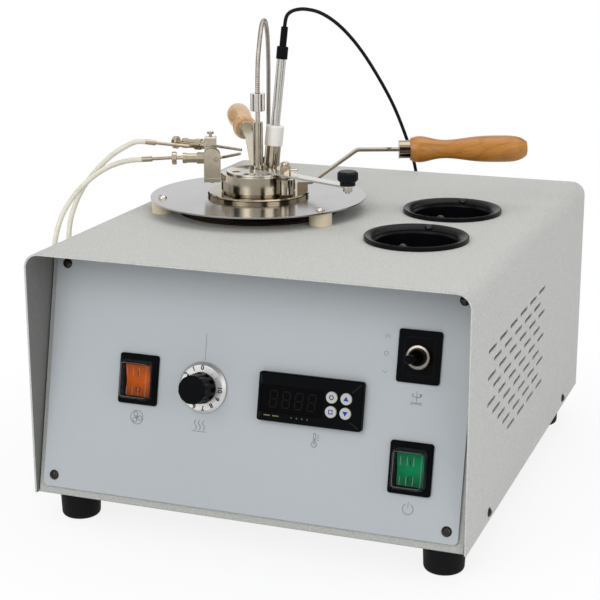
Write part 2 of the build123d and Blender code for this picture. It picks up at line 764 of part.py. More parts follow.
def make_dial_ring():
    dial = lathe([(KNOB_SHAFT_R, 0.5), (DIAL_R, 0.5), (DIAL_R, 1.7), (DIAL_FACE_R, DIAL_T),
                  (KNOB_SHAFT_R, DIAL_T)])
    return dial


def make_regulator_knob():
    knob = lathe([(0, DIAL_T), (KNOB_R, DIAL_T), (KNOB_FACE_R, DIAL_T + KNOB_H - 1),
                  (KNOB_FACE_R - 1, DIAL_T + KNOB_H), (0, DIAL_T + KNOB_H)])
    for step in range(KNOB_FLUTES):
        x, y = polar(KNOB_R + 0.3, 360 / KNOB_FLUTES * step)
        knob -= cyl(KNOB_FLUTE_R, DIAL_T + 2, DIAL_T + KNOB_H + 1, x, y)
    return knob + cyl(KNOB_SHAFT_R, -KNOB_SHAFT_L, DIAL_T)


def make_regulator_body():
    body = cyl(REGULATOR_R, -PANEL_T - REGULATOR_DEPTH, -PANEL_T)
    return body - cyl(KNOB_SHAFT_R + 0.1, -KNOB_SHAFT_L - 1, 0)


# ---------------------------------------------------------------- plate, wells and air bath


def make_spacers():
    spacers = []
    for angle in SPACER_ANGLES:
        x, y = polar(SPACER_ORBIT, angle)
        hole = cyl(DOME_SHANK_R + HOLE_GAP, -1, SPACER_H + 1, x, y)
        spacers.append(at_axis(cyl(SPACER_R, 0, SPACER_H, x, y) - hole))
    return spacers


def make_shield_plate():
    through = (SPACER_H - 1, PLATE_TOP + 1)
    disc = cyl(PLATE_R, SPACER_H, PLATE_TOP) - cyl(PLATE_BORE_R, *through)
    for angle in SPACER_ANGLES:
        disc -= cyl(DOME_SHANK_R + HOLE_GAP, *through, *polar(SPACER_ORBIT, angle))
    return at_axis(disc)


def make_shield_screws():
    shank = cyl(DOME_SHANK_R, -SHIELD_SCREW_TAIL, PLATE_TOP + 0.2)
    screw = dome(DOME_R, DOME_H, PLATE_TOP) + shank
    screw += cyl(DOME_R, -SHEET - SHIELD_NUT_T, -SHEET)
    return [at_axis(Pos(*polar(SPACER_ORBIT, a), 0) * screw) for a in SPACER_ANGLES]


def make_cup_well(y):
    """A closed tube whose rim flares out over the top of the case."""
    outer = WELL_BORE_R + WELL_WALL
    lip = WELL_RIM_R - WELL_LIP
    inward, upward = WELL_FLARE
    middle = ((WELL_BORE_R + lip) / 2 - inward, (WELL_RIM_H - WELL_THROAT) / 2 + upward)
    throat = (WELL_BORE_R, -WELL_THROAT)
    floor = WELL_WALL - WELL_DEPTH
    shell = Polyline(throat, (WELL_BORE_R, floor), (0, floor), (0, -WELL_DEPTH),
                     (outer, -WELL_DEPTH), (outer, 0), (WELL_RIM_R, 0),
                     (WELL_RIM_R, WELL_RIM_H - WELL_LIP), (lip, WELL_RIM_H))
    flare = ThreePointArc((lip, WELL_RIM_H), middle, throat)
    well = revolve(make_face(Plane.XZ * Wire(shell.edges() + flare.edges())), Axis.Z)
    for turn in (-1, 1):
        place = (0, turn * WELL_SCREW_ORBIT)
        well -= cyl(WELL_SCREW_R + HOLE_GAP, WELL_SCREW_SEAT, 2 * WELL_RIM_H, *place)
        well -= cyl(WELL_SHANK_R + HOLE_GAP, -1, WELL_SCREW_SEAT + 1, *place)
    return Pos(WELL_X, y, TOP) * well


def make_well_screws():
    head = dome(WELL_SCREW_R, WELL_SCREW_H, WELL_SCREW_SEAT)
    screw = head + cyl(WELL_SHANK_R, -6, WELL_SCREW_SEAT + 0.2)
    return [Pos(x, y, TOP) * screw for x, y in well_screw_places()]


def make_air_bath():
    top = -BATH_TOP_DROP
    floor = top - BATH_DEPTH
    flange = top - INSULATION_T
    bath = cyl(BATH_R, floor - BATH_FLOOR, top) - cyl(BATH_BORE_R, floor, top + 1)
    bath += cyl(BATH_FLANGE_R, flange - BATH_FLANGE_T, flange) - cyl(BATH_R, -30, 0)
    return at_axis(bath)


def make_bath_insulation():
    low = -BATH_TOP_DROP - INSULATION_T
    ring = cyl(BATH_FLANGE_R, low, -BATH_TOP_DROP) - cyl(BATH_R + INSULATION_GAP, low - 1, 0)
    return at_axis(ring)


def bath_bottom():
    return -BATH_TOP_DROP - BATH_DEPTH - BATH_FLOOR


def make_bath_heater():
    return at_axis(cyl(HEATER_R, bath_bottom() - HEATER_T, bath_bottom()))


def make_bath_stand():
    high = bath_bottom() - HEATER_T
    stand = cyl(STAND_R, high - STAND_T, high)
    for step in range(3):
        x, y = polar(STAND_LEG_ORBIT, 30 + 120 * step)
        stand += cyl(STAND_LEG_R, FLOOR_TOP - TOP, high - STAND_T, x, y)
    return at_axis(stand)


# ---------------------------------------------------------------- cup and handles


def make_cup():
    lower = CUP_TOP - CUP_DEPTH
    cup = lathe([(0, lower - CUP_FLOOR_T), (CUP_R - 2, lower - CUP_FLOOR_T),
                 (CUP_R, lower - CUP_FLOOR_T + 2), (CUP_R, PLATE_TOP), (FLANGE_R, PLATE_TOP),
                 (FLANGE_R, FLANGE_TOP - 0.8), (FLANGE_R - 0.8, FLANGE_TOP),
                 (NECK_R, FLANGE_TOP), (NECK_R, CUP_TOP), (CUP_BORE_R, CUP_TOP),
                 (CUP_BORE_R, lower), (0, lower)])
    return at_axis(cup)


def make_handle_bar(root, rise, lug_to=None):
    """The flat bar with its ferrule, and the lug that carries it where there is one."""
    route = [root, *rise, (FERRULE_AT + 1, rise[-1][1])]
    path = FilletPolyline(*route, radius=BAR_BEND)
    flat = extrude(trace(path, line_width=BAR_T), BAR_W / 2, both=True)
    bar = Rot(90, 0, 0) * flat
    level = rise[-1][1]
    bar += rod((FERRULE_AT, 0, level), (FERRULE_AT + FERRULE_L, 0, level), FERRULE_R)
    if lug_to is not None:
        under = root[1] - BAR_T / 2
        bar += block(root[0], root[0] + LUG_L, -BAR_W / 2, BAR_W / 2, lug_to, under + 0.5)
    return bar


def make_grip(level):
    """A turned wooden grip that continues the ferrule."""
    form = [(radius, along) for along, radius in GRIP_FORM]
    end = (GRIP_END_R, GRIP_L)
    side = Spline(*form, end)
    outline = Wire(side.edges() + Polyline(end, (0, GRIP_L), (0, 0), form[0]).edges())
    grip = revolve(make_face(Plane.XZ * outline), Axis.Z)
    return Pos(FERRULE_AT + FERRULE_L, 0, level) * Rot(0, 90, 0) * grip


# ---------------------------------------------------------------- cover


def port(angle, orbit, wide, long, low, high):
    """A rectangular opening at an angle round the cup axis."""
    shape = Pos(orbit, 0, (low + high) / 2) * Box(long, wide, high - low)
    return Rot(0, 0, angle) * shape


def ports(turn, low, high):
    """The flame port and its two side ports, turned about the axis."""
    cuts = [port(PORT_ANGLE + turn, PORT_ORBIT, PORT_W, PORT_L, low, high)]
    for side in (-1, 1):
        angle = PORT_ANGLE + turn + side * SIDE_PORT_TURN
        cuts.append(port(angle, PORT_ORBIT, SIDE_PORT_W, SIDE_PORT_L, low, high))
    return cuts


def make_cover():
    skirt_low = FLANGE_TOP + COVER_SKIRT_LIFT
    cover = cyl(COVER_R, skirt_low, LID_TOP)
    cover += cyl(BOSS_R, skirt_low, CUP_TOP, *polar(BOSS_ORBIT, LEVER_ANGLE))
    cover -= cyl(NECK_R + COVER_SKIRT_GAP, skirt_low - 1, CUP_TOP)
    reach = block(0, TONGUE_REACH, -TONGUE_W / 2, TONGUE_W / 2, CUP_TOP + 0.2, LID_TOP)
    cover += Rot(0, 0, 180 + BURNER_TURN) * (reach - cyl(COVER_R - 1, 0, 50))
    cover += cyl(BUSH_R, LID_TOP, BUSH_TOP)
    nut_low = LEVER_TOP + 0.2
    cover += cyl(BUSH_NUT_R, nut_low, nut_low + BUSH_NUT_T)
    cover -= cyl(ROD_BORE_R, 0, BUSH_TOP + 1)
    cover -= ports(0, CUP_TOP - 1, LID_TOP + 1)
    cover = at_axis(cover)
    neck = at_probe(cyl(PROBE_NECK_R, -LID_T / 2, PROBE_NECK_H))
    collar = at_probe(cyl(COLLAR_R, PROBE_NECK_H, COLLAR_TOP))
    return cover + neck + collar - at_probe(cyl(PROBE_BORE_R, -5, COLLAR_TOP + 1))


def make_probe_bushing():
    bushing = cyl(BUSHING_R, COLLAR_TOP, BUSHING_TOP)
    bushing = fillet(bushing.edges().group_by(Axis.Z)[-1], 1.2)
    return at_probe(bushing - cyl(PROBE_BORE_R, 0, 60))


def make_shutter():
    sweep_from = PORT_ANGLE - SIDE_PORT_TURN - 14
    sweep_to = PORT_ANGLE + SHUTTER_TURN + SIDE_PORT_TURN + 14
    middle = (sweep_from + sweep_to) / 2
    half = (sweep_to - sweep_from) / 2
    wedge = [(0, 0), polar(60, middle - half), polar(60, middle - half / 2), polar(60, middle),
             polar(60, middle + half / 2), polar(60, middle + half)]
    sector = extrude(make_face(Polyline(*wedge, close=True)), SHUTTER_T)
    sector = Pos(0, 0, SHUTTER_BOTTOM) * sector
    shutter = cyl(SHUTTER_R, SHUTTER_BOTTOM, SHUTTER_TOP) & sector
    shutter += cyl(SHUTTER_HUB_R, SHUTTER_BOTTOM, SHUTTER_TOP)
    shutter -= cyl(BUSH_R + SHUTTER_GAP, 0, 60)
    shutter -= ports(SHUTTER_TURN, SHUTTER_BOTTOM - 1, SHUTTER_TOP + 1)
    return at_axis(shutter)


def make_shutter_lever():
    tip = LEVER_REACH
    outline = make_face(Polyline((0, LEVER_ROOT_W / 2), (tip, LEVER_TIP_W / 2),
                                 (tip, -LEVER_TIP_W / 2), (0, -LEVER_ROOT_W / 2), close=True))
    lever = Pos(0, 0, SHUTTER_TOP) * extrude(outline, LEVER_T)
    lever += cyl(LEVER_TIP_W / 2, SHUTTER_TOP, LEVER_TOP, tip)
    lever += cyl(SHUTTER_HUB_R, SHUTTER_TOP, LEVER_TOP)
    lever -= block(-20, 0, -20, 20, 0, 60) - cyl(SHUTTER_HUB_R, 0, 60)
    lever -= cyl(BUSH_R + SHUTTER_GAP, 0, 60)
    lever -= cyl(LEVER_STUD_R, 0, 60, tip) + cyl(LEVER_STUD_R, 0, 60, BOSS_ORBIT)
    return at_axis(lever, LEVER_ANGLE)


def make_lever_knob():
    low, high = LEVER_TOP, LEVER_TOP + LEVER_KNOB_H
    knob = lathe([(0, low), (LEVER_KNOB_R - 2, low), (LEVER_KNOB_R - 2, low + 2.5),
                  (LEVER_KNOB_R, low + 4.5), (LEVER_KNOB_R, high - 1.5),
                  (LEVER_KNOB_R - 1.5, high), (0, high)])
    for step in range(KNOB_FLUTES):
        x, y = polar(LEVER_KNOB_R + 0.7, 360 / KNOB_FLUTES * step)
        knob -= cyl(1.2, low + 2, high + 1, x, y)
    knob += cyl(LEVER_STUD_R, SHUTTER_TOP - LEVER_STUD_DROP, low)
    knob += cyl(LEVER_NUT_R, SHUTTER_TOP - LEVER_NUT_T, SHUTTER_TOP)
    return at_axis(Pos(LEVER_REACH, 0, 0) * knob, LEVER_ANGLE)


def make_lever_detent():
    """The bolt on the lever: a knurled foot over the boss and an acorn nut above."""
    nut = extrude(Pos(0, 0, LEVER_TOP) * RegularPolygon(DETENT_NUT[0], 6), DETENT_NUT[1])
    acorn = cyl(DETENT_CROWN[0], LEVER_TOP, LEVER_TOP + DETENT_CROWN[1])
    acorn = fillet(acorn.edges().group_by(Axis.Z)[-1], 2.4)
    bolt = nut + acorn + cyl(LEVER_STUD_R, LID_TOP + 0.2, LEVER_TOP + 1)
    bolt += cyl(DETENT_R, LID_TOP + 0.2, SHUTTER_TOP)
    along, across, up, radius = DETENT_PIN
    pin = rod((0, 0, LEVER_TOP + up), (along, across, LEVER_TOP + up), radius)
    return at_axis(Pos(BOSS_ORBIT, 0, 0) * (bolt + pin), LEVER_ANGLE)


# ---------------------------------------------------------------- burner


def burner(shape):
    return at_axis(shape, BURNER_TURN)


def make_burner_block():
    arch_r = (BLOCK_RIGHT - BLOCK_LEFT) / 2
    middle = (BLOCK_RIGHT + BLOCK_LEFT) / 2
    spring = BLOCK_ARCH_TOP - arch_r
    front = block(BLOCK_LEFT, BLOCK_RIGHT, BLOCK_FRONT, BLOCK_JOIN, BLOCK_BOTTOM, spring)
    front += rod((middle, BLOCK_FRONT, spring), (middle, BLOCK_JOIN, spring), arch_r)
    front += block(BLOCK_LEFT, BLOCK_RIGHT, BLOCK_FRONT - FOOT_LEDGE[0], BLOCK_FRONT,
                   BLOCK_BOTTOM, BLOCK_BOTTOM + FOOT_LEDGE[1])
    front -= block(SLIT_LEFT, BLOCK_RIGHT + 1, *SLIT, SLIT_BOTTOM, BLOCK_ARCH_TOP + 1)
    front -= rod((PIVOT[0], BLOCK_FRONT - 1, PIVOT[1]), (PIVOT[0], BLOCK_JOIN - 0.5, PIVOT[1]),
                 PIVOT_HOLE_R)
    slot_half = TONGUE_W / 2 + TONGUE_SLOT_GAP
    gap = TONGUE_SLOT_GAP
    front -= block(-TONGUE_REACH - gap, BLOCK_RIGHT + 1, -slot_half, slot_half,
                   CUP_TOP + 0.2 - gap, LID_TOP + gap)
    rear = block(BLOCK_LEFT, REAR_BLOCK_RIGHT, BLOCK_JOIN, BLOCK_BACK, BLOCK_BOTTOM, REAR_BLOCK_TOP)
    rear = chamfer(rear.edges().group_by(Axis.Z)[-1], 0.8)
    finial_x = (BLOCK_LEFT + REAR_BLOCK_RIGHT) / 2
    finial_y = (BLOCK_JOIN + BLOCK_BACK) / 2
    crown = REAR_BLOCK_TOP + FINIAL_H
    finial = cyl(FINIAL_NECK_R, REAR_BLOCK_TOP - 1, crown - 1, finial_x, finial_y)
    finial += cyl(FINIAL_R, crown - FINIAL_T, crown, finial_x, finial_y)
    screw = Pos(middle, 0, BLOCK_BOTTOM) * Rot(180, 0, 0) * dome(2.6, 1.6, 0)
    boss_end = rear_valve_point(REAR_VALVE_STEP)
    boss_start = rear_valve_point(-VALVE_BODY_R)
    boss = rod(boss_start, boss_end, VALVE_BODY_R)
    pilot = rod(PILOT_ROOT, PILOT_TIP, JET_R)
    return burner(front + rear + finial + screw + boss + pilot)


def rear_valve_point(along):
    """A point on the rear valve's axis, counted outward from the block."""
    x, y = polar(along, 180 + REAR_VALVE_TURN)
    return BLOCK_LEFT + x, REAR_VALVE_AT[0] + y, REAR_VALVE_AT[1]


def make_flame_jet():
    middle = (SLIT[0] + SLIT[1]) / 2
    half = (SLIT[1] - SLIT[0]) / 2 - 0.15
    x, z = PIVOT
    jet = rod((x, middle - half, z), (x, middle + half, z), JET_HUB_R)
    jet += rod((x, BLOCK_FRONT + 1, z), (x, BLOCK_JOIN - 0.8, z), PIVOT_PIN_R)
    knee = (JET_KNEE[0], middle, JET_KNEE[1])
    jet += rod((x, middle, z), knee, JET_R)
    jet += Pos(*knee) * Sphere(JET_R)
    jet += rod(knee, JET_TIP, JET_R)
    return burner(jet)


def valve(place, gas_pipe):
    """A needle valve along +X, with its pipe: hexagon, barrel, gland ring and bore."""
    hexagon = extrude(Plane.YZ * RegularPolygon(VALVE_HEX / 2, 6, major_radius=False), VALVE_HEX_L)
    body = hexagon + rod((0, 0, 0), (VALVE_BODY_L, 0, 0), VALVE_BODY_R)
    body += rod((VALVE_BODY_L, 0, 0), (VALVE_LENGTH, 0, 0), VALVE_RING_R)
    bore = rod((NEEDLE_IN - 0.5, 0, 0), (VALVE_LENGTH + 1, 0, 0), NEEDLE_BORE_R)
    return place(body) + gas_pipe - place(bore)


def needle():
    stem = rod((NEEDLE_IN, 0, 0), (NEEDLE_KNOB_AT, 0, 0), NEEDLE_R)
    end = NEEDLE_KNOB_AT + NEEDLE_KNOB_L
    knob = rod((NEEDLE_KNOB_AT, 0, 0), (end, 0, 0), NEEDLE_KNOB_R)
    return stem + chamfer(knob.edges().filter_by(GeomType.CIRCLE), 0.5)


def front_valve(shape):
    return burner(Pos(BLOCK_LEFT, *VALVE_AT) * Rot(0, 0, 180) * shape)


def rear_valve(shape):
    start = rear_valve_point(REAR_VALVE_STEP)
    return burner(Pos(*start) * Rot(0, 0, 180 + REAR_VALVE_TURN) * shape)


def pipe(tail, bend, end):
    """A gas pipe from a valve's side out to the ferrule that a tube is pushed into."""
    line = Vector(*bend) - Vector(*tail)
    inner = Vector(*tail) + line.normalized() * TAIL_L
    pieces = rod(tail, tuple(inner), TAIL_R) + rod(tuple(inner), bend, PIPE_R)
    return burner(pieces + Pos(*bend) * Sphere(PIPE_R) + rod(bend, end, PIPE_R))


def make_gas_valves():
    front = valve(front_valve, pipe(FRONT_TAIL, FRONT_PIPE_BEND, FRONT_PIPE_END))
    rear = valve(rear_valve, pipe(REAR_TAIL, REAR_PIPE_BEND, REAR_PIPE_END))
    return front, rear


# ---------------------------------------------------------------- stirrer and drive


def blades(radius, height):
    right = Rot(BLADE_PITCH, 0, 0) * Box(radius, BLADE_W, BLADE_T)
    left = Rot(-BLADE_PITCH, 0, 0) * Box(radius, BLADE_W, BLADE_T)
    return Pos(radius / 2, 0, height) * right + Pos(-radius / 2, 0, height) * left


def make_stirrer():
    stirrer = cyl(ROD_R, ROD_BOTTOM, ROD_TOP)
    stirrer += blades(UPPER_BLADE_R, UPPER_BLADE_AT)
    stirrer += Rot(0, 0, 90) * blades(LOWER_BLADE_R, LOWER_BLADE_AT)
    return at_axis(stirrer)


def make_drive_coupling():
    coupling = cyl(COUPLING_R, ROD_TOP, COUPLING_TOP)
    coupling -= block(0, 20, -0.5, 0.5, ROD_TOP + 1, COUPLING_TOP + 1)
    return at_axis(coupling)


def make_drive_socket():
    socket = cyl(SOCKET_FLANGE_R, 0, SOCKET_FLANGE_T) + cyl(SOCKET_R, -MOTOR_DROP, SOCKET_H)
    return Pos(*SOCKET_XY, TOP) * socket


def make_stirrer_motor():
    motor = cyl(MOTOR_R, -MOTOR_DROP - MOTOR_H, -MOTOR_DROP - MOTOR_PLATE_T)
    return Pos(*SOCKET_XY, TOP) * motor


def make_motor_mount():
    low, high = -MOTOR_DROP - MOTOR_PLATE_T, -MOTOR_DROP
    mount = plate(MOTOR_PLATE, MOTOR_PLATE, low, high, 4)
    reach = MOTOR_PLATE / 2 - MOTOR_POST_R - 1
    for x in (-reach, reach):
        for y in (-reach, reach):
            mount += cyl(MOTOR_POST_R, high, -SHEET, x, y)
    return Pos(*SOCKET_XY, TOP) * mount


# ---------------------------------------------------------------- probe


def make_temperature_probe():
    probe = cyl(PROBE_R, -PROBE_IN, PROBE_OUT)
    return at_probe(fillet(probe.edges().group_by(Axis.Z)[0], 2.5))


def make_probe_boot():
    boot = cyl(BOOT_R, PROBE_OUT, PROBE_OUT + BOOT_STEP)
    boot = fillet(boot.edges().group_by(Axis.Z)[-1], 1.0)
    step = PROBE_OUT + BOOT_STEP
    return at_probe(boot + cyl(BOOT_NECK_R, step - 1, step + BOOT_NECK))


def make_cable_port():
    """The clip on the rear panel that the probe's lead drops into."""
    wide, deep, tall = CABLE_PORT
    neck_top = CABLE_PORT_TOP
    top = neck_top - CABLE_PORT_NECK
    body = block(CABLE_PORT_X - wide / 2, CABLE_PORT_X + wide / 2, REAR_FACE, REAR_FACE + deep,
                 top - tall, top)
    return body + cyl(CABLE_PORT_NECK_R, top, neck_top, CABLE_PORT_X, CABLE_PORT_Y)


# ---------------------------------------------------------------- rear fittings and gas inlets


def make_power_inlet():
    x, z = INLET_XZ[0], CASE_BOTTOM + INLET_XZ[1]
    flange = extrude(Plane.XZ * RectangleRounded(INLET_W, INLET_H, 3), -INLET_FLANGE)
    wide, tall, deep = INLET_BODY
    body = flange + Pos(0, -deep / 2, 0) * Box(wide, deep, tall)
    wide, tall, deep = INLET_POCKET
    body -= Pos(0, INLET_FLANGE - deep / 2, 0) * Box(wide, deep + 0.01, tall)
    for x_pin, z_pin in INLET_PINS:
        pin = Box(INLET_PIN[0], deep - 2, INLET_PIN[1])
        body += Pos(x_pin, INLET_FLANGE - deep / 2 - 2, z_pin) * pin
    return Pos(x, REAR_FACE, z) * body


def fan_place():
    return Pos(FAN_XZ[0], REAR_FACE - SHEET, CASE_BOTTOM + FAN_XZ[1]) * Rot(90, 0, 0)


def make_fan_frame():
    frame = plate(FAN_SIZE, FAN_SIZE, 0, FAN_T, 4) - cyl(FAN_BORE_R, -1, FAN_T + 1)
    hub = cyl(FAN_HUB_R, FAN_T - FAN_SPIDER_T, FAN_T)
    for step in range(3):
        arm = block(0, FAN_BORE_R + 1, -2, 2, FAN_T - FAN_SPIDER_T, FAN_T)
        hub += Rot(0, 0, 90 + 120 * step) * arm
    return fan_place() * (frame + hub + cyl(1.5, 4, FAN_T))


def make_fan_rotor():
    high = FAN_T - FAN_SPIDER_T - 1
    rotor = cyl(FAN_HUB_R, 2, high)
    for step in range(FAN_BLADES):
        blade = Pos(FAN_BORE_R / 2, 0, (2 + high) / 2) * Rot(FAN_BLADE_PITCH, 0, 0) * Box(
            FAN_BORE_R - 3, 20, FAN_BLADE_T)
        rotor += Rot(0, 0, 360 / FAN_BLADES * step) * blade
    rotor &= cyl(FAN_BORE_R - 1.2, 2, high)
    return fan_place() * (rotor - cyl(1.6, 0, FAN_T))


def make_gas_inlets():
    inlets = []
    level = INLET_BARB_TOP - INLET_BARB_DROP
    for y in GAS_INLET_YS:
        elbow = rod((-SIDE + 8, y, level), (GAS_INLET_X, y, level), INLET_STEM_R)
        elbow += rod((-SIDE - INLET_NUT_T, y, level), (-SIDE, y, level), INLET_NUT_R)
        elbow += Pos(GAS_INLET_X, y, level) * Sphere(INLET_STEM_R)
        elbow += cyl(INLET_STEM_R, level, INLET_BARB_TOP, GAS_INLET_X, y)
        inlets.append(elbow)
    return inlets


# ---------------------------------------------------------------- cord routes, chosen by hand

FLEX_SHAFT_ROUTE = [
    (CUP_X, CUP_Y, TOP + COUPLING_TOP),
    (CUP_X, CUP_Y, 326.0),
    (-65.0, 10.0, 345.0),
    (-71.3, 31.0, 357.5),
    (-79.0, 58.0, 358.0),
    (-88.0, 86.0, 343.0),
    (-98.0, 113.0, 315.5),
    (-106.5, 134.0, 284.0),
    (-113.0, 150.0, 258.0),
    (*SOCKET_XY, 239.0),
    (*SOCKET_XY, TOP + SOCKET_H),
]

PROBE_CABLE_ROUTE = [
    (-45.8, 22.0, 365.6),
    (-44.2, 27.0, 367.9),
    (-42.0, 33.6, 368.8),
    (-38.7, 43.6, 368.7),
    (-32.2, 64.2, 364.5),
    (-23.8, 90.5, 351.0),
    (-15.1, 117.8, 329.3),
    (-6.4, 145.1, 300.4),
    (0.7, 167.5, 273.1),
    (6.6, 186.5, 242.4),
    (11.0, 202.5, 214.0),
    (13.2, 206.8, 180.0),
    (CABLE_PORT_X, CABLE_PORT_Y, 150.0),
    (CABLE_PORT_X, CABLE_PORT_Y, CABLE_PORT_TOP),
]

REAR_TUBE_ROUTE = [
    (-158.6, -32.2, 265.0),
    (-166.3, -36.2, 260.7),
    (-175.4, -40.0, 254.4),
    (-187.9, -44.0, 241.6),
    (-197.0, -48.5, 228.7),
    (-202.9, -54.0, 213.8),
    (-204.4, -62.0, 197.1),
    (-199.5, -72.0, 172.0),
    (-190.0, -79.5, 151.0),
    (GAS_INLET_X, GAS_INLET_YS[0], 134.0),
    (GAS_INLET_X, GAS_INLET_YS[0], INLET_BARB_TOP),
]

FRONT_TUBE_ROUTE = [
    (-163.0, -32.0, 249.9),
    (-170.9, -38.8, 248.2),
    (-178.2, -48.5, 244.6),
    (-185.6, -60.0, 237.5),
    (-192.2, -71.0, 228.1),
    (-198.2, -82.0, 214.3),
    (-200.6, -90.5, 197.8),
    (-200.0, -98.0, 176.0),
    (-191.5, -102.0, 155.0),
    (GAS_INLET_X, GAS_INLET_YS[1], 136.0),
    (GAS_INLET_X, GAS_INLET_YS[1], INLET_BARB_TOP),
]


def tube_start(tail, bend):
    """The end of a pipe's ferrule, and a point straight on from it."""
    outward = (Vector(*tail) - Vector(*bend)).normalized()
    onward = Vector(*tail) + outward * TUBE_LEAD
    return [place_of(burner(Vertex(*spot))) for spot in (tail, tuple(onward))]


def cable_start():
    """The end of the probe's boot, and a point straight on from it."""
    high = PROBE_OUT + BOOT_STEP + BOOT_NECK
    return [place_of(at_probe(Vertex(0, 0, high + lead))) for lead in (0, CABLE_LEAD)]


def place_of(vertex):
    return tuple(vertex.center())


# ---------------------------------------------------------------- build

os.makedirs("parts", exist_ok=True)

save("hood", make_hood())
save("base_tray", make_base_tray())
save("rear_panel", make_rear_panel())
save("case_screws", *make_case_screws(), *make_panel_screws())
save("feet", *make_feet())
save("front_panel", make_front_panel())

save("switch_housings", *[on_panel(make_switch_housing(), *at) for at in (FAN_SWITCH, MAIN_SWITCH)])
save("switch_caps", *[on_panel(make_switch_cap(), *at) for at in (FAN_SWITCH, MAIN_SWITCH)])
save("fan_rocker", on_panel(make_rocker(), *FAN_SWITCH))
save("main_rocker", on_panel(make_rocker(), *MAIN_SWITCH))
save("toggle_plate", on_panel(make_toggle_plate(), *TOGGLE))
save("toggle_switch", on_panel(make_toggle_switch(), *TOGGLE))
save("toggle_lever", on_panel(make_toggle_lever(), *TOGGLE))
save("regulator_body", on_panel(make_regulator_body(), *REGULATOR))
save("dial_ring", on_panel(make_dial_ring(), *REGULATOR))
save("regulator_knob", on_panel(make_regulator_knob(), *REGULATOR))
save("meter_case", on_panel(make_meter_case(), *METER))
for number, (across, up) in enumerate(button_places(), 1):
    save(f"meter_button_{number}", on_panel(make_button(), METER[0] + across, METER[1] + up))

save("shield_spacers", *make_spacers())
save("shield_plate", make_shield_plate())
save("shield_screws", *make_shield_screws())
save("cup_wells", *[make_cup_well(y) for y in WELL_YS])
save("well_screws", *make_well_screws())
save("air_bath", make_air_bath())
save("bath_insulation", make_bath_insulation())
save("bath_stand", make_bath_heater(), make_bath_stand())

save("cup", make_cup())
cup_level = CUP_HANDLE_RISE[-1][1]
cup_bar = make_handle_bar(CUP_HANDLE_ROOT, CUP_HANDLE_RISE, FLANGE_TOP)
save("cup_handle_bar", at_axis(cup_bar, CUP_HANDLE_ANGLE))
save("cup_handle_grip", at_axis(make_grip(cup_level), CUP_HANDLE_ANGLE))

save("cover", make_cover())
save("probe_bushing", make_probe_bushing())
cover_level = COVER_HANDLE_RISE[-1][1]
cover_bar = make_handle_bar(COVER_HANDLE_ROOT, COVER_HANDLE_RISE)
save("cover_handle_bar", at_axis(cover_bar, COVER_HANDLE_ANGLE))
save("cover_handle_grip", at_axis(make_grip(cover_level), COVER_HANDLE_ANGLE))
save("shutter_plate", make_shutter())
save("shutter_lever", make_shutter_lever())
save("shutter_knob", make_lever_knob())
save("lever_detent", make_lever_detent())
save("burner_block", make_burner_block())
save("flame_jet", make_flame_jet())
save("gas_valves", *make_gas_valves())
save("front_needle", front_valve(needle()))
save("rear_needle", rear_valve(needle()))

save("stirrer", make_stirrer())
save("drive_coupling", make_drive_coupling())
save("drive_socket", make_drive_socket())
save("stirrer_motor", make_stirrer_motor(), make_motor_mount())
save("flexible_shaft", cord_tube("flexible_shaft", FLEX_SHAFT_ROUTE, SHAFT_CORD_R))

save("temperature_probe", make_temperature_probe())
save("probe_boot", make_probe_boot())
save("probe_cable", cord_tube("probe_cable", [*cable_start(), *PROBE_CABLE_ROUTE], CABLE_R))
save("cable_port", make_cable_port())

save("power_inlet", make_power_inlet())
save("fan_frame", make_fan_frame())
save("fan_rotor", make_fan_rotor())
save("gas_inlets", *make_gas_inlets())
rear_start = tube_start(REAR_TAIL, REAR_PIPE_BEND)
front_start = tube_start(FRONT_TAIL, FRONT_PIPE_BEND)
save("rear_gas_tube", cord_tube("rear_gas_tube", [*rear_start, *REAR_TUBE_ROUTE], TUBE_R))
save("front_gas_tube", cord_tube("front_gas_tube", [*front_start, *FRONT_TUBE_ROUTE], TUBE_R))

print(f"flame jet swings {JET_SWING:.2f} degrees, port at {PORT_ORBIT:.2f} / {PORT_ANGLE:.2f}")
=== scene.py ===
"""Looks of a closed-cup flash point tester: finishes, cords, dial marks, stage and camera."""

import math

import bmesh
import bpy
from mathutils import Matrix, Vector


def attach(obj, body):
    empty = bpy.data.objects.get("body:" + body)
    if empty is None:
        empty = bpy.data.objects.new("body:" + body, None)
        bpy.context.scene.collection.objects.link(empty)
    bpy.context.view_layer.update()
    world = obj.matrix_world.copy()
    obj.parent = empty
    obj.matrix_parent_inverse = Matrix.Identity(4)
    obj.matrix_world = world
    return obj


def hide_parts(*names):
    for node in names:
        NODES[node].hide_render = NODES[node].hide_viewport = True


bl_info = {
    "name": "Flash point tester looks",
    "version": (1, 0, 0),
    "blender": (4, 5, 0),
    "location": "3D View > Sidebar > Tester",
    "description": "Dresses the tester's solids with finishes, cords, marks and a studio",
    "category": "Object",
}

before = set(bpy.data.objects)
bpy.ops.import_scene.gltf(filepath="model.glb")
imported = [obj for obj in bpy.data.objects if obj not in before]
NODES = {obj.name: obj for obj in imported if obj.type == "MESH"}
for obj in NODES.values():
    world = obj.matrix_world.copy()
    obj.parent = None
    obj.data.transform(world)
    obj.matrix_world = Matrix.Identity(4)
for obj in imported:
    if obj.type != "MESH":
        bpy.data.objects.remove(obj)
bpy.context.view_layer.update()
MM = 0.001

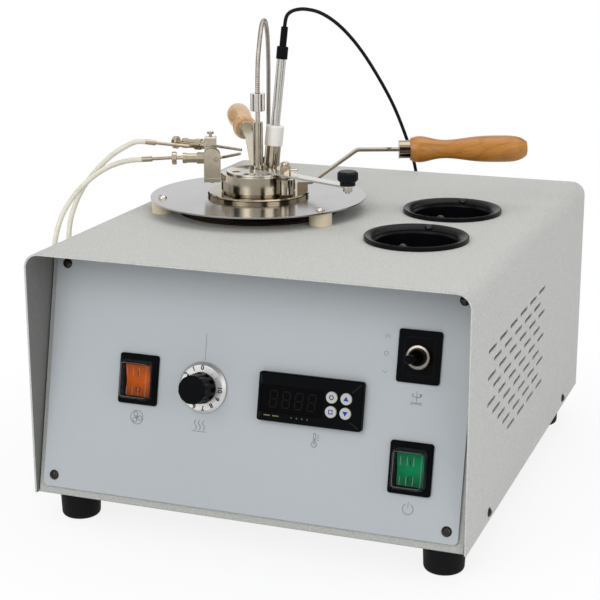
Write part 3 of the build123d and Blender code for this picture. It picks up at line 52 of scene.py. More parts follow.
# Places and sizes of the tester's solids in mm, and the grips' bearings in degrees.
HOOD_HALF_W, HOOD_TOP, HOOD_BEND_R, HOOD_SKIN = 167.0, 211.0, 11.5, 1.4
PANEL_LOW_Y, PANEL_LOW_Z = -197.8, 25.0
PANEL_TILT = math.radians(12.5)
ROCKER_TILT = math.radians(8)
CUP_AXIS = (-63.0, 0.0)
FLANGE_R, GROOVE_LOW, GROOVE_W = 41.0, 224.5, 0.6
CUP_GRIP_TURN, CUP_GRIP_Z = 21.8, 259.0
COVER_GRIP_TURN, COVER_GRIP_Z = 117.0, 256.8
KNOB_NUT_TOP = 242.75

# Middles on the front panel, and heights of faces over it.
FAN_SWITCH = (-87.1, 94.8)
MAIN_SWITCH = (123.3, 55.6)
TOGGLE = (123.4, 133.1)
REGULATOR = (-35.9, 94.3)
METER = (47.5, 94.1)
METER_FLAT_W, METER_FLAT_H = 74.8, 30.8
WINDOW = (34.5, 92.9)
CAP_FACE, PLATE_FACE, DIAL_FACE = 11.0, 1.5, 4.0
WINDOW_FACE, METER_FACE, BUTTON_FACE = 4.95, 5.5, 6.5


def paint(red, green, blue):
    """A linear colour from its 0 to 255 display values."""
    return tuple((c / 255 / 12.92 if c < 10.4 else ((c / 255 + 0.055) / 1.055) ** 2.4)
                 for c in (red, green, blue)) + (1.0,)


def scaled(colour, share):
    return tuple(c * share for c in colour[:3]) + (1.0,)


# ------------ user values


def swatch(name, description, colour):
    return bpy.props.FloatVectorProperty(
        name=name, description=description, subtype="COLOR", size=4, min=0, max=1,
        default=colour)


def length(name, description, default):
    return bpy.props.FloatProperty(
        name=name, description=description, default=default, min=0, unit="LENGTH",
        precision=4)


class TesterColours(bpy.types.PropertyGroup):
    """Colours of the tester's finishes."""

    powder_coat: swatch("Powder coat", "Textured coat of the hood", paint(207, 207, 202))
    panel_sheet: swatch("Panel sheet", "Satin front panel", paint(181, 186, 189))
    tray_coat: swatch("Tray coat", "Base tray and front wall", paint(185, 186, 181))
    fan_lens: swatch("Fan rocker", "Lit rocker of the fan switch", paint(190, 86, 16))
    main_lens: swatch("Main rocker", "Lit rocker of the main switch", paint(2, 123, 75))
    front_wood: swatch("Front grip", "Wood of the cup's grip", paint(182, 120, 44))
    rear_wood: swatch("Rear grip", "Wood of the cover's grip", paint(214, 168, 112))
    print_ink: swatch("Print", "Ink of the marks on the panel", paint(128, 124, 122))


class TesterSizes(bpy.types.PropertyGroup):
    """Sizes of the marks and small pieces."""

    numeral: length("Numeral height", "Height of the dial's numbers", 3.5 * MM)
    index_width: length("Index width", "Width of the dial's index line", 0.35 * MM)
    digit_height: length("Digit height", "Height of the meter's digits", 11.5 * MM)
    rib_pitch: length("Rib pitch", "Pitch of the flexible shaft's winding", 1.5 * MM)
    knurl: bpy.props.IntProperty(
        name="Knurls", description="Knurls round the toggle's ring nut", default=48, min=12)


# ------------ material writing


class Field:
    """A socket in a finish. Arithmetic on it adds the Math nodes."""

    def __init__(self, finish, socket):
        self.finish = finish
        self.socket = socket

    def __add__(self, other):
        return self.finish.maths("ADD", self, other)

    def __radd__(self, other):
        return self.finish.maths("ADD", other, self)

    def __sub__(self, other):
        return self.finish.maths("SUBTRACT", self, other)

    def __rsub__(self, other):
        return self.finish.maths("SUBTRACT", other, self)

    def __mul__(self, other):
        return self.finish.maths("MULTIPLY", self, other)

    def __rmul__(self, other):
        return self.finish.maths("MULTIPLY", other, self)

    def __pow__(self, other):
        return self.finish.maths("POWER", self, other)

    def __rpow__(self, other):
        return self.finish.maths("POWER", other, self)

    def __lt__(self, other):
        return self.finish.maths("LESS_THAN", self, other)

    def __gt__(self, other):
        return self.finish.maths("GREATER_THAN", self, other)


class Finish:
    """One material, or the world, written as expressions."""

    def __init__(self, name, owner=None):
        self.owner = owner or bpy.data.materials.new(name)
        self.owner.use_nodes = True
        self.tree = self.owner.node_tree
        self.tree.nodes.clear()

    def node(self, kind, settings=None, sockets=None, out=0):
        """One node: its settings first, then the values or links of its sockets."""
        made = self.tree.nodes.new(kind)
        for key, value in (settings or {}).items():
            setattr(made, key, value)
        for key, value in (sockets or {}).items():
            if isinstance(value, Field):
                self.tree.links.new(value.socket, made.inputs[key])
            else:
                made.inputs[key].default_value = value
        return Field(self, made.outputs[out])

    def maths(self, operation, *values):
        return self.node("ShaderNodeMath", {"operation": operation}, dict(enumerate(values)))

    def vectors(self, operation, *values, out=0):
        return self.node("ShaderNodeVectorMath", {"operation": operation},
                         dict(enumerate(values)), out)

    def place(self):
        """The row frame's own coordinates."""
        return self.node("ShaderNodeTexCoord", out=3)

    def turned_place(self, degrees, centre):
        return self.node("ShaderNodeMapping", {}, {
            "Vector": self.vectors("SUBTRACT", self.place(), centre),
            "Rotation": (0, 0, -math.radians(degrees))})

    def stretch(self, vector, scale):
        return self.vectors("MULTIPLY", vector, scale)

    def noise(self, vector, scale, detail=2.0, rough=0.5):
        return self.node("ShaderNodeTexNoise", {}, {
            "Vector": vector, "Scale": scale, "Detail": detail, "Roughness": rough})

    def between(self, value, low, high, to_low=0.0, to_high=1.0):
        return self.node("ShaderNodeMapRange", {}, {
            "Value": value, "From Min": low, "From Max": high,
            "To Min": to_low, "To Max": to_high})

    def spread(self, noise, low, high):
        """A noise's usual values taken to a range."""
        return self.between(noise, 0.3, 0.7, low, high)

    def mix(self, share, first, second):
        return self.node("ShaderNodeMix", {"data_type": "RGBA"},
                         {0: share, 6: first, 7: second}, out=2)

    def part_of_place(self, axis):
        """One coordinate of the row frame: 0, 1 or 2."""
        return self.node("ShaderNodeSeparateXYZ", {}, {"Vector": self.place()}, out=axis)

    def inside_hood(self):
        """1 on the faces inside the hood's bent sheet, 0 on its outer faces and edges."""
        x, z = self.part_of_place(0), self.part_of_place(2)
        side = self.maths("ABSOLUTE", x) - (HOOD_HALF_W - HOOD_BEND_R) * MM
        rise = z - (HOOD_TOP - HOOD_BEND_R) * MM
        side, rise = (self.maths("MAXIMUM", reach, 0.0) for reach in (side, rise))
        return (side * side + rise * rise) ** 0.5 < (HOOD_BEND_R - HOOD_SKIN) * MM

    def seen(self):
        """1 for camera, glossy and transmission rays, 0 for the rest."""
        camera, glossy, through = (self.node("ShaderNodeLightPath", out=ray)
                                   for ray in (0, 3, 6))
        return self.maths("MAXIMUM", self.maths("MAXIMUM", camera, glossy), through)

    def edge(self, radius):
        """Normals rounded over the sharp edges."""
        return self.node("ShaderNodeBevel", {"samples": 4}, {"Radius": radius})

    def bump(self, height, distance, strength=1.0, normal=None):
        sockets = {"Height": height, "Distance": distance, "Strength": strength}
        if normal is not None:
            sockets["Normal"] = normal
        return self.node("ShaderNodeBump", {}, sockets)

    def shade(self, **sockets):
        """Finish with one principled shader; names use _ for a space."""
        named = {key.replace("_", " "): value for key, value in sockets.items()}
        return self.output(self.node("ShaderNodeBsdfPrincipled", {}, named))

    def output(self, shader, kind="ShaderNodeOutputMaterial"):
        made = self.tree.nodes.new(kind)
        self.tree.links.new(shader.socket, made.inputs["Surface"])
        return self.owner


def powder_coat(name, colour, grain=1.0, shaded_inside=False):
    """Textured powder coat: an orange-peel grain with a faint speckle and soft edges.

    The hood's inner faces are painted darker: painted shade under the hood's lip and inside its
    walls.
    """
    f = Finish(name)
    at = f.place()
    peel = f.noise(at, 620, 3, 0.55)
    fine = f.noise(at, 2100, 2, 0.5)
    cloud = f.noise(at, 9, 3, 0.6)
    speckle = f.between(peel, 0.36, 0.62)
    body = f.mix(cloud, scaled(colour, 0.97), colour)
    tone = f.mix(speckle, scaled(colour, 0.83), body)
    # painted shade: the hood's inner faces are darkened to a third of the coat's colour
    if shaded_inside:
        tone = f.mix(f.inside_hood(), tone, scaled(colour, 0.34))
    height = peel * 0.7 + fine * 0.3
    return f.shade(Base_Color=tone, Roughness=f.spread(peel, 0.52, 0.66),
                   Specular_IOR_Level=0.3,
                   Normal=f.bump(height, 0.0009 * grain, 0.8, f.edge(0.0006)))


def panel_finish(name, colour):
    """Satin anodised sheet with a faint vertical drawing grain."""
    f = Finish(name)
    at = f.place()
    drawn = f.noise(f.stretch(at, (1500, 1500, 40)), 1.0, 2, 0.5)
    cloud = f.noise(at, 7, 2, 0.5)
    tone = f.mix(cloud, scaled(colour, 0.965), colour)
    tone = f.mix(f.spread(drawn, 0, 0.25), tone, scaled(colour, 0.94))
    return f.shade(Base_Color=tone, Roughness=f.spread(drawn, 0.42, 0.52),
                   Specular_IOR_Level=0.28,
                   Normal=f.bump(drawn, 0.00002, 0.3, f.edge(0.0004)))


def brushed_steel(name, colour, along=(25, 900, 900), rough=0.28):
    """Stainless steel with long brush lines one way."""
    f = Finish(name)
    at = f.place()
    lines = f.noise(f.stretch(at, along), 1.0, 3, 0.6)
    smudge = f.noise(at, 26, 3, 0.6)
    tone = f.mix(f.between(lines, 0.3, 0.7), scaled(colour, 0.86), colour)
    return f.shade(
        Base_Color=tone, Metallic=1.0,
        Roughness=f.spread(lines, rough - 0.05, rough + 0.06)
        + f.between(smudge, 0.4, 0.7, 0, 0.05),
        Normal=f.bump(lines, 0.00003, 0.35, f.edge(0.0003)))


def satin_steel(name, colour, rough=0.2):
    """Satin stainless steel: an even fine grain, cloudy wiping marks and a soft mirror."""
    f = Finish(name)
    at = f.place()
    grain = f.noise(f.stretch(at, (2400, 700, 2400)), 1.0, 2, 0.5)
    wiped = f.noise(f.stretch(at, (16, 7, 16)), 1.0, 4, 0.6)
    tone = f.mix(f.between(wiped, 0.35, 0.7), colour, scaled(colour, 0.90))
    return f.shade(Base_Color=tone, Metallic=1.0,
                   Roughness=f.spread(wiped, rough - 0.03, rough + 0.05),
                   Normal=f.bump(grain, 0.000004, 0.25, f.edge(0.0003)))


def nickel(name, colour, rough=0.13):
    """Polished nickel plate, slightly warm, with fine hairlines and handling marks."""
    f = Finish(name)
    at = f.place()
    smudge = f.noise(at, 60, 4, 0.6)
    hair = f.noise(f.stretch(at, (1400, 1400, 120)), 1.0, 2, 0.5)
    tone = f.mix(f.between(smudge, 0.42, 0.68), colour, scaled(colour, 0.80))
    return f.shade(Base_Color=tone, Metallic=1.0,
                   Roughness=f.between(smudge, 0.35, 0.7, rough - 0.04, rough + 0.10),
                   Normal=f.bump(hair, 0.00001, 0.25, f.edge(0.0004)))


def moulded(name, colour, rough=0.42, grain=1.0, gloss=0.07):
    """Moulded plastic with a spark-eroded grain."""
    f = Finish(name)
    at = f.place()
    spark = f.noise(at, 1800, 2, 0.6)
    cloud = f.noise(at, 45, 2, 0.5)
    tone = f.mix(cloud, scaled(colour, 0.86), scaled(colour, 1.06))
    return f.shade(Base_Color=tone, Specular_IOR_Level=gloss,
                   Roughness=f.spread(spark, rough - 0.06, rough + 0.07),
                   Normal=f.bump(spark, 0.00006 * grain, 0.4, f.edge(0.0004)))


def knob_over_nut(name, colour, metal, split):
    """A black knob whose stud and nut, below a height, are plated."""
    f = Finish(name)
    at = f.place()
    low = f.part_of_place(2) < split
    spark = f.noise(at, 1500, 2, 0.6)
    tone = f.mix(low, f.mix(spark, scaled(colour, 0.8), scaled(colour, 1.2)), metal)
    return f.shade(Base_Color=tone, Metallic=low, Roughness=f.between(low, 0, 1, 0.4, 0.16),
                   Specular_IOR_Level=0.16, Normal=f.bump(spark, 0.00005, 0.4, f.edge(0.0004)))


def rubber(name, colour):
    f = Finish(name)
    at = f.place()
    bloom = f.noise(at, 120, 4, 0.65)
    tone = f.mix(f.between(bloom, 0.45, 0.75), colour, scaled(colour, 1.9))
    return f.shade(Base_Color=tone, Roughness=f.spread(bloom, 0.55, 0.75),
                   Specular_IOR_Level=0.12,
                   Normal=f.bump(f.noise(at, 900, 2, 0.5), 0.0001, 0.4, f.edge(0.0006)))


def lens(name, colour, glow, middle):
    """A translucent switch lens, brighter in the middle where the lamp sits."""
    f = Finish(name)
    cloud = f.noise(f.place(), 90, 2, 0.5)
    lamp = middle + 1.5 * MM
    away = f.maths("ABSOLUTE", f.part_of_place(2) - lamp)
    tone = f.mix(f.between(cloud, 0.35, 0.65), scaled(colour, 0.8), colour)
    tone = f.mix(f.between(away, 1 * MM, 12 * MM), tone, scaled(colour, 0.42))
    return f.shade(Base_Color=tone, Roughness=0.3, Specular_IOR_Level=0.08,
                   Emission_Color=tone, Emission_Strength=glow)


def clear_cap(name):
    """Clear moulded cap: hardly there face on, and whiter at grazing edges."""
    f = Finish(name)
    rim = f.node("ShaderNodeLayerWeight", {}, {"Blend": 0.35}, out=1)
    mist = f.noise(f.place(), 300, 2, 0.5)
    return f.shade(Base_Color=(0.10, 0.11, 0.13, 1), Roughness=0.07, Specular_IOR_Level=0.12,
                   Alpha=f.between(rim, 0.2, 1.0, 0.01, 0.5) + f.between(mist, 0.4, 0.7, 0, 0.02))


def satin_aluminium(name, colour, centre, tilt):
    """Turned aluminium: fine rings about the dial's centre."""
    f = Finish(name)
    flat = f.node("ShaderNodeMapping", {}, {
        "Vector": f.vectors("SUBTRACT", f.place(), centre), "Rotation": (tilt, 0, 0)})
    ring = f.maths("SINE", f.vectors("LENGTH", flat, out=1) * 21000)
    wear = f.noise(f.place(), 400, 3, 0.6)
    tone = f.mix(f.between(ring * wear, -0.5, 0.5), scaled(colour, 0.86), colour)
    return f.shade(Base_Color=tone, Metallic=0.85, Roughness=f.spread(wear, 0.26, 0.4),
                   Normal=f.edge(0.0003))


def waxy(name, colour):
    """A white polymer with faint tool rings."""
    f = Finish(name)
    at = f.place()
    cloud = f.noise(at, 90, 3, 0.5)
    rings = f.noise(f.stretch(at, (60, 60, 2600)), 1.0, 2, 0.5)
    tone = f.mix(cloud, scaled(colour, 0.93), colour)
    return f.shade(Base_Color=tone, Specular_IOR_Level=0.4,
                   Roughness=f.spread(rings, 0.34, 0.50),
                   Normal=f.bump(rings, 0.00004, 0.4, f.edge(0.0005)))


def silicone(name, colour):
    """Milky tube: softer and yellower where dust lies on it, with a faint painted glow for light
    through its wall.
    """
    f = Finish(name)
    at = f.place()
    dust = f.noise(at, 70, 3, 0.6)
    tone = f.mix(f.between(dust, 0.4, 0.7), colour, scaled(colour, 0.88))
    return f.shade(Base_Color=tone, Roughness=f.spread(dust, 0.3, 0.42),
                   # painted glow: the emission stands in for light shining through the milky wall
                   Specular_IOR_Level=0.35, Emission_Color=tone, Emission_Strength=0.12)


def beech(name, colour, degrees, centre):
    """Varnished beech turned along its grain, with rings, streaks and short flecks."""
    f = Finish(name)
    at = f.turned_place(degrees, centre)
    streak = f.noise(f.stretch(at, (14, 210, 210)), 1.0, 5, 0.6)
    warp = f.noise(f.stretch(at, (9, 38, 38)), 1.0, 2, 0.5)
    ring = f.maths("SINE", warp * 46)
    fleck = f.noise(f.stretch(at, (110, 1300, 1300)), 1.0, 2, 0.5)
    dark, light = scaled(colour, 0.66), scaled(colour, 1.14)
    tone = f.mix(f.between(streak, 0.32, 0.68), scaled(colour, 0.84), light)
    tone = f.mix(f.between(ring, 0.55, 1.0, 0, 0.42), tone, dark)
    tone = f.mix(f.between(fleck, 0.60, 0.70, 0, 0.55), tone, scaled(colour, 0.50))
    return f.shade(Base_Color=tone, Roughness=f.spread(streak, 0.34, 0.46),
                   Specular_IOR_Level=0.3, Coat_Weight=0.35, Coat_Roughness=0.2,
                   Normal=f.bump(fleck * 0.6 + streak * 0.4, 0.00006, 0.3))


def cast(name, colour):
    """Sand-cast metal with stains."""
    f = Finish(name)
    at = f.place()
    sand = f.noise(at, 520, 4, 0.65)
    stain = f.noise(at, 30, 4, 0.6)
    tone = f.mix(f.between(stain, 0.4, 0.65), colour, scaled(colour, 0.55))
    return f.shade(Base_Color=tone, Metallic=1.0, Roughness=f.spread(sand, 0.5, 0.75),
                   Normal=f.bump(sand, 0.0004, 0.5))


def board(name, colour):
    """Brown mineral board with fibres and scorch."""
    f = Finish(name)
    at = f.place()
    fibre = f.noise(f.stretch(at, (300, 300, 90)), 1.0, 5, 0.7)
    scorch = f.noise(at, 22, 3, 0.6)
    tone = f.mix(f.between(fibre, 0.35, 0.65), scaled(colour, 0.6), colour)
    tone = f.mix(f.between(scorch, 0.5, 0.75, 0, 0.6), tone, scaled(colour, 0.3))
    return f.shade(Base_Color=tone, Roughness=0.85, Normal=f.bump(fibre, 0.0005, 0.6))


def ink(name, colour, rough=0.5):
    f = Finish(name)
    wear = f.noise(f.place(), 900, 3, 0.6)
    return f.shade(Base_Color=f.mix(wear, colour, scaled(colour, 1.25)), Roughness=rough,
                   Specular_IOR_Level=0.1)


def dark_glass(name, colour):
    """The meter's tinted window."""
    f = Finish(name)
    smear = f.noise(f.place(), 60, 3, 0.6)
    return f.shade(Base_Color=f.mix(smear, scaled(colour, 0.8), colour),
                   Roughness=f.spread(smear, 0.10, 0.18), Specular_IOR_Level=0.04)


# ------------ shapes

PANEL = Matrix((
    (1, 0, 0, 0),
    (0, math.sin(PANEL_TILT), -math.cos(PANEL_TILT), PANEL_LOW_Y * MM),
    (0, math.cos(PANEL_TILT), math.sin(PANEL_TILT), PANEL_LOW_Z * MM),
    (0, 0, 0, 1)))
PRINT_T = 0.05
SIGN_LINE = 0.45


def shift(x, y, z):
    """A move in mm."""
    return Matrix.Translation(Vector((x, y, z)) * MM)


def on_panel(x, y, z=0.0, spin=0.0):
    """A place on the front panel, in mm, with a turn about its outward normal."""
    return PANEL @ shift(x, y, z) @ Matrix.Rotation(spin, 4, "Z")


def over_cup(height):
    """A place on the cup's axis, at a height over the bench in mm."""
    return Vector((*CUP_AXIS, height)) * MM


def piece(name, grown, body, material, smooth=False):
    """A new object that rides on a body; its form already lies in the row frame."""
    made = grown_object(name, grown, material)
    for face in made.data.polygons:
        face.use_smooth = smooth
    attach(made, body)
    return made


def new_object(name, data):
    made = bpy.data.objects.new(name, data)
    bpy.context.scene.collection.objects.link(made)
    return made


def meshed(curve):
    """The mesh of a curve or a text."""
    holder = new_object("holder", curve)
    bpy.context.view_layer.update()
    mesh = bpy.data.meshes.new_from_object(holder)
    bpy.data.objects.remove(holder)
    return mesh


def grown_object(name, grown, material):
    """An object from what was grown, in one material."""
    bmesh.ops.recalc_face_normals(grown, faces=grown.faces)
    mesh = bpy.data.meshes.new(name)
    grown.to_mesh(mesh)
    grown.free()
    mesh.materials.append(material)
    return new_object(name, mesh)


def flat_form(grown, outline, low, high, place):
    """An extruded outline in mm, set at a place."""
    rings = [[grown.verts.new(place @ (Vector((x, y, z)) * MM)) for x, y in outline]
             for z in (low, high)]
    grown.faces.new(rings[1])
    grown.faces.new(rings[0][::-1])
    for i in range(len(outline)):
        j = (i + 1) % len(outline)
        grown.faces.new((rings[0][i], rings[0][j], rings[1][j], rings[1][i]))


def stroke(grown, points, width, place, height=PRINT_T, closed=False):
    """A printed line of a width along points in mm."""
    count = len(points)
    for i in range(count if closed else count - 1):
        a, b = Vector(points[i]), Vector(points[(i + 1) % count])
        run = (b - a).normalized()
        side = Vector((-run.y, run.x)) * width / 2
        a, b = a - run * width / 2, b + run * width / 2
        flat_form(grown, [a - side, b - side, b + side, a + side], 0, height, place)


def arc(x, y, radius, start, end, steps=24):
    return [(x + radius * math.cos(math.radians(start + (end - start) * i / steps)),
             y + radius * math.sin(math.radians(start + (end - start) * i / steps)))
            for i in range(steps + 1)]


def rounded(width, height, corner, x=0.0, y=0.0):
    points = []
    for sx, sy, start in ((1, 1, 0), (-1, 1, 90), (-1, -1, 180), (1, -1, 270)):
        points += arc(x + sx * (width / 2 - corner), y + sy * (height / 2 - corner),
                      corner, start, start + 90, 5)
    return points


def turned(grown, profile, steps, place, flutes=0, depth=0.0):
    """A lathed form from (radius, height) in mm, with knurls cut into its outer radius."""
    outer = max(r for r, _ in profile)
    rings = []
    for i in range(steps):
        angle = 2 * math.pi * i / steps
        cut = depth * (0.5 - 0.5 * math.cos(angle * flutes)) if flutes else 0
        ring = []
        for radius, height in profile:
            r = radius - (cut if radius > outer - 0.6 else 0)
            ring.append(grown.verts.new(
                place @ (Vector((r * math.cos(angle), r * math.sin(angle), height)) * MM)))
        rings.append(ring)
    for i in range(steps):
        a, b = rings[i], rings[(i + 1) % steps]
        for k in range(len(profile)):
            m = (k + 1) % len(profile)
            grown.faces.new((a[k], b[k], b[m], a[m]))


def words(name, size, places):
    """Numerals grown as one form: one (text, matrix) each."""
    grown = bmesh.new()
    for word, place in places:
        curve = bpy.data.curves.new(name, "FONT")
        curve.body = word
        curve.size = size
        curve.align_x = "CENTER"
        curve.align_y = "CENTER"
        curve.extrude = 0.03 * MM
        curve.offset = 0.15 * MM
        curve.resolution_u = 6
        mesh = meshed(curve)
        mesh.transform(place)
        grown.from_mesh(mesh)
        bpy.data.meshes.remove(mesh)
    return grown


def dress(material, *nodes):
    for node in nodes:
        mesh = NODES[node].data
        mesh.materials.clear()
        mesh.materials.append(material)


# ------------ cords

# Radii and routes in mm. A route starts at the piece that the cord rides on.
FLEX_R, FLEX_RIB, CABLE_R, TUBE_R = 1.9, 0.22, 1.5, 2.1
FLEX_SHAFT = [
    (-63, 0, 305), (-63, 0, 326), (-65, 10, 345), (-71.3, 31, 357.5), (-79, 58, 358),
    (-88, 86, 343), (-98, 113, 315.5), (-106.5, 134, 284), (-113, 150, 258),
    (-116.5, 157.5, 239), (-116.5, 157.5, 223)]
PROBE_CABLE = [
    (-46.818, 19.006, 356.288), (-46.352, 19.309, 361.660), (-45.8, 22, 365.6),
    (-44.2, 27, 367.9), (-42, 33.6, 368.8), (-38.7, 43.6, 368.7), (-32.2, 64.2, 364.5),
    (-23.8, 90.5, 351), (-15.1, 117.8, 329.3), (-6.4, 145.1, 300.4), (0.7, 167.5, 273.1),
    (6.6, 186.5, 242.4), (11, 202.5, 214), (13.2, 206.8, 180), (14, 205.5, 150),
    (14, 205.5, 124)]
REAR_TUBE = [
    (-149.687, -27.971, 265.4), (-154.290, -29.836, 265.974), (-158.6, -32.2, 265),
    (-166.3, -36.2, 260.7), (-175.4, -40, 254.4), (-187.9, -44, 241.6),
    (-197, -48.5, 228.7), (-202.9, -54, 213.8), (-204.4, -62, 197.1), (-199.5, -72, 172),
    (-190, -79.5, 151), (-184, -82, 134), (-184, -82, 118)]
FRONT_TUBE = [
    (-153.943, -26.567, 250.4), (-158.622, -28.307, 250.118), (-163, -32, 249.9),
    (-170.9, -38.8, 248.2), (-178.2, -48.5, 244.6), (-185.6, -60, 237.5),
    (-192.2, -71, 228.1), (-198.2, -82, 214.3), (-200.6, -90.5, 197.8),
    (-200, -98, 176), (-191.5, -102, 155), (-184, -103, 136), (-184, -103, 118)]


def cord_curve(name, points, radius=0.0, steps=16):
    """A smooth spline along a route given in mm."""
    curve = bpy.data.curves.new(name, "CURVE")
    curve.dimensions = "3D"
    curve.resolution_u = steps
    curve.bevel_depth = radius * MM
    curve.bevel_resolution = 5
    curve.use_fill_caps = True
    spline = curve.splines.new("NURBS")
    spline.points.add(len(points) - 1)
    for point, (x, y, z) in zip(spline.points, points):
        point.co = (x * MM, y * MM, z * MM, 1)
    spline.order_u = 3
    spline.use_endpoint_u = True
    return curve


def cord(name, node, body, points, radius, material, slot, far_end="object", **facts):
    made = new_object(name, cord_curve(name, points, radius))
    made.data.materials.append(material)
    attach(made, body)
    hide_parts(node)
    return made


def line_of(points):
    """Points along the smooth spline of a route, in metres."""
    mesh = meshed(cord_curve("route", points, steps=40))
    line = [v.co.copy() for v in mesh.vertices]
    bpy.data.meshes.remove(mesh)
    return line


def wound_tube(grown, line, radius, pitch, depth, sides=14, rings_per_rib=6):
    """A tube with the rounded ribs of a wound steel sheath."""
    runs = [(b - a).length for a, b in zip(line, line[1:])]
    total = sum(runs)
    count = int(total / pitch * rings_per_rib)
    side = Vector((1, 0, 0))
    rings, index, passed = [], 0, 0.0
    for step in range(count + 1):
        along = total * step / count
        while index < len(runs) - 1 and passed + runs[index] < along:
            passed += runs[index]
            index += 1
        a, b = line[index], line[index + 1]
        spot = a.lerp(b, (along - passed) / runs[index])
        ahead = (b - a).normalized()
        side = (side - ahead * side.dot(ahead)).normalized()
        other = ahead.cross(side)
        wave = abs(math.sin(math.pi * along / pitch))
        r = radius - depth * (1 - wave)
        rings.append([grown.verts.new(spot + (side * math.cos(t) + other * math.sin(t)) * r)
                      for t in (2 * math.pi * k / sides for k in range(sides))])
    for a, b in zip(rings, rings[1:]):
        for k in range(sides):
            m = (k + 1) % sides
            grown.faces.new((a[k], a[m], b[m], b[k]))
    grown.faces.new(rings[0][::-1])
    grown.faces.new(rings[-1])


# ------------ operators


class TesterOperator:
    """What every step shares: the user's colours and sizes."""

    bl_options = {"REGISTER"}

    def colour(self, name):
        return tuple(getattr(bpy.context.scene.tester_colours, name))

    @property
    def sizes(self):
        return bpy.context.scene.tester_sizes


class TESTER_OT_case(TesterOperator, bpy.types.Operator):
    """Powder-coated hood and rear panel, tray, screws and rubber feet."""

    bl_idname = "tester.case"
    bl_label = "Case"

    def execute(self, context):
        coat = self.colour("powder_coat")
        dress(powder_coat("hood_coat", coat, shaded_inside=True), "hood")
        dress(powder_coat("rear_coat", coat), "rear_panel")
        dress(powder_coat("tray_coat", self.colour("tray_coat"), 0.6), "base_tray")
        dress(nickel("dark_screws", paint(58, 56, 54), 0.3), "case_screws")
        dress(rubber("foot_rubber", paint(12, 12, 14)), "feet")
        return {"FINISHED"}


class TESTER_OT_panel(TesterOperator, bpy.types.Operator):
    """Front sheet with the dial's index line and plain printed signs."""

    bl_idname = "tester.panel"
    bl_label = "Front panel"

    INDEX_LOW, INDEX_HIGH = 114.2, 133.4

    def execute(self, context):
        dress(panel_finish("panel_sheet", self.colour("panel_sheet")), "front_panel")
        printed = ink("panel_ink", self.colour("print_ink"))
        grown = bmesh.new()
        index = [(REGULATOR[0], end) for end in (self.INDEX_LOW, self.INDEX_HIGH)]
        stroke(grown, index, self.sizes.index_width / MM, on_panel(0, 0))
        for sign, x, y in ((self.fan_sign, FAN_SWITCH[0], 66.5),
                           (self.heat_sign, REGULATOR[0] - 1, 66.8),
                           (self.thermometer_sign, METER[0] + 4, 66.5),
                           (self.stirrer_sign, TOGGLE[0], 104.0),
                           (self.power_sign, MAIN_SWITCH[0], 27.0),
                           (self.speed_signs, TOGGLE[0] - 24, TOGGLE[1])):
            sign(grown, on_panel(x, y))
        piece("panel_print", grown, "case", printed)
        return {"FINISHED"}

    def fan_sign(self, grown, place):
        """Three blades round a hub, in a ring."""
        for turn in (90, 210, 330):
            middle = math.radians(turn + 22)
            blade = arc(2.5 * math.cos(middle), 2.5 * math.sin(middle), 1.6,
                        turn - 120, turn + 240, 16)
            stroke(grown, blade, SIGN_LINE, place)
        for radius, steps in ((0.7, 12), (5.0, 32)):
            stroke(grown, arc(0, 0, radius, 0, 360, steps), SIGN_LINE, place)

    def heat_sign(self, grown, place):
        """Three waves rising from a plate."""
        for x in (-3.2, 0, 3.2):
            wave = [(x + 0.9 * math.sin(t / 12 * 2 * math.pi), -3.6 + t / 12 * 6.8)
                    for t in range(13)]
            stroke(grown, wave, SIGN_LINE, place)
        stroke(grown, [(-5.4, -4.8), (5.4, -4.8)], SIGN_LINE, place)

    def thermometer_sign(self, grown, place):
        """A bulb, its stem with the column, and three marks."""
        stroke(grown, arc(0, -3.2, 1.9, 112, 428, 20), SIGN_LINE, place)
        stroke(grown, [(-0.75, -1.5), (-0.75, 3.9), *arc(0, 3.9, 0.75, 180, 0, 8), (0.75, -1.5)],
               SIGN_LINE, place)
        for y in (0.2, 1.8, 3.4):
            stroke(grown, [(1.9, y), (3.3, y)], SIGN_LINE, place)
        stroke(grown, [(0, -3.2), (0, 1.0)], 0.5, place)

    def stirrer_sign(self, grown, place):
        """A shaft with its blades below and a turning arrow round it."""
        stroke(grown, [(0, 4.8), (0, -3.4)], SIGN_LINE, place)
        stroke(grown, [(-3.6, -2.6), (3.6, -4.2), (3.6, -2.6), (-3.6, -4.2), (-3.6, -2.6)],
               SIGN_LINE, place)
        sweep = [(3.4 * math.cos(math.radians(a)), 2.2 + 1.3 * math.sin(math.radians(a)))
                 for a in range(130, 411, 20)]
        stroke(grown, sweep, SIGN_LINE, place)
        x, y = sweep[-1]
        stroke(grown, [(x + 1.4, y - 0.1), (x, y), (x + 0.3, y - 1.5)], SIGN_LINE, place)

    def power_sign(self, grown, place):
        stroke(grown, arc(0, 0, 3.8, 122, 418, 28), 0.4, place)
        stroke(grown, [(0, 0.6), (0, 4.8)], 0.4, place)

    def speed_signs(self, grown, place):
        """A ring for off, two arrow heads above it and one below."""
        away, rise = 13.6, 1.6
        stroke(grown, arc(0, 0, 1.5, 0, 360, 20), 0.3, place)
        for way, steps in ((1, (0.0, 1.4)), (-1, (0.0,))):
            for step in steps:
                tip = way * (away - step)
                foot = tip - way * rise
                stroke(grown, [(-1.8, foot), (0, tip), (1.8, foot)], 0.3, place)


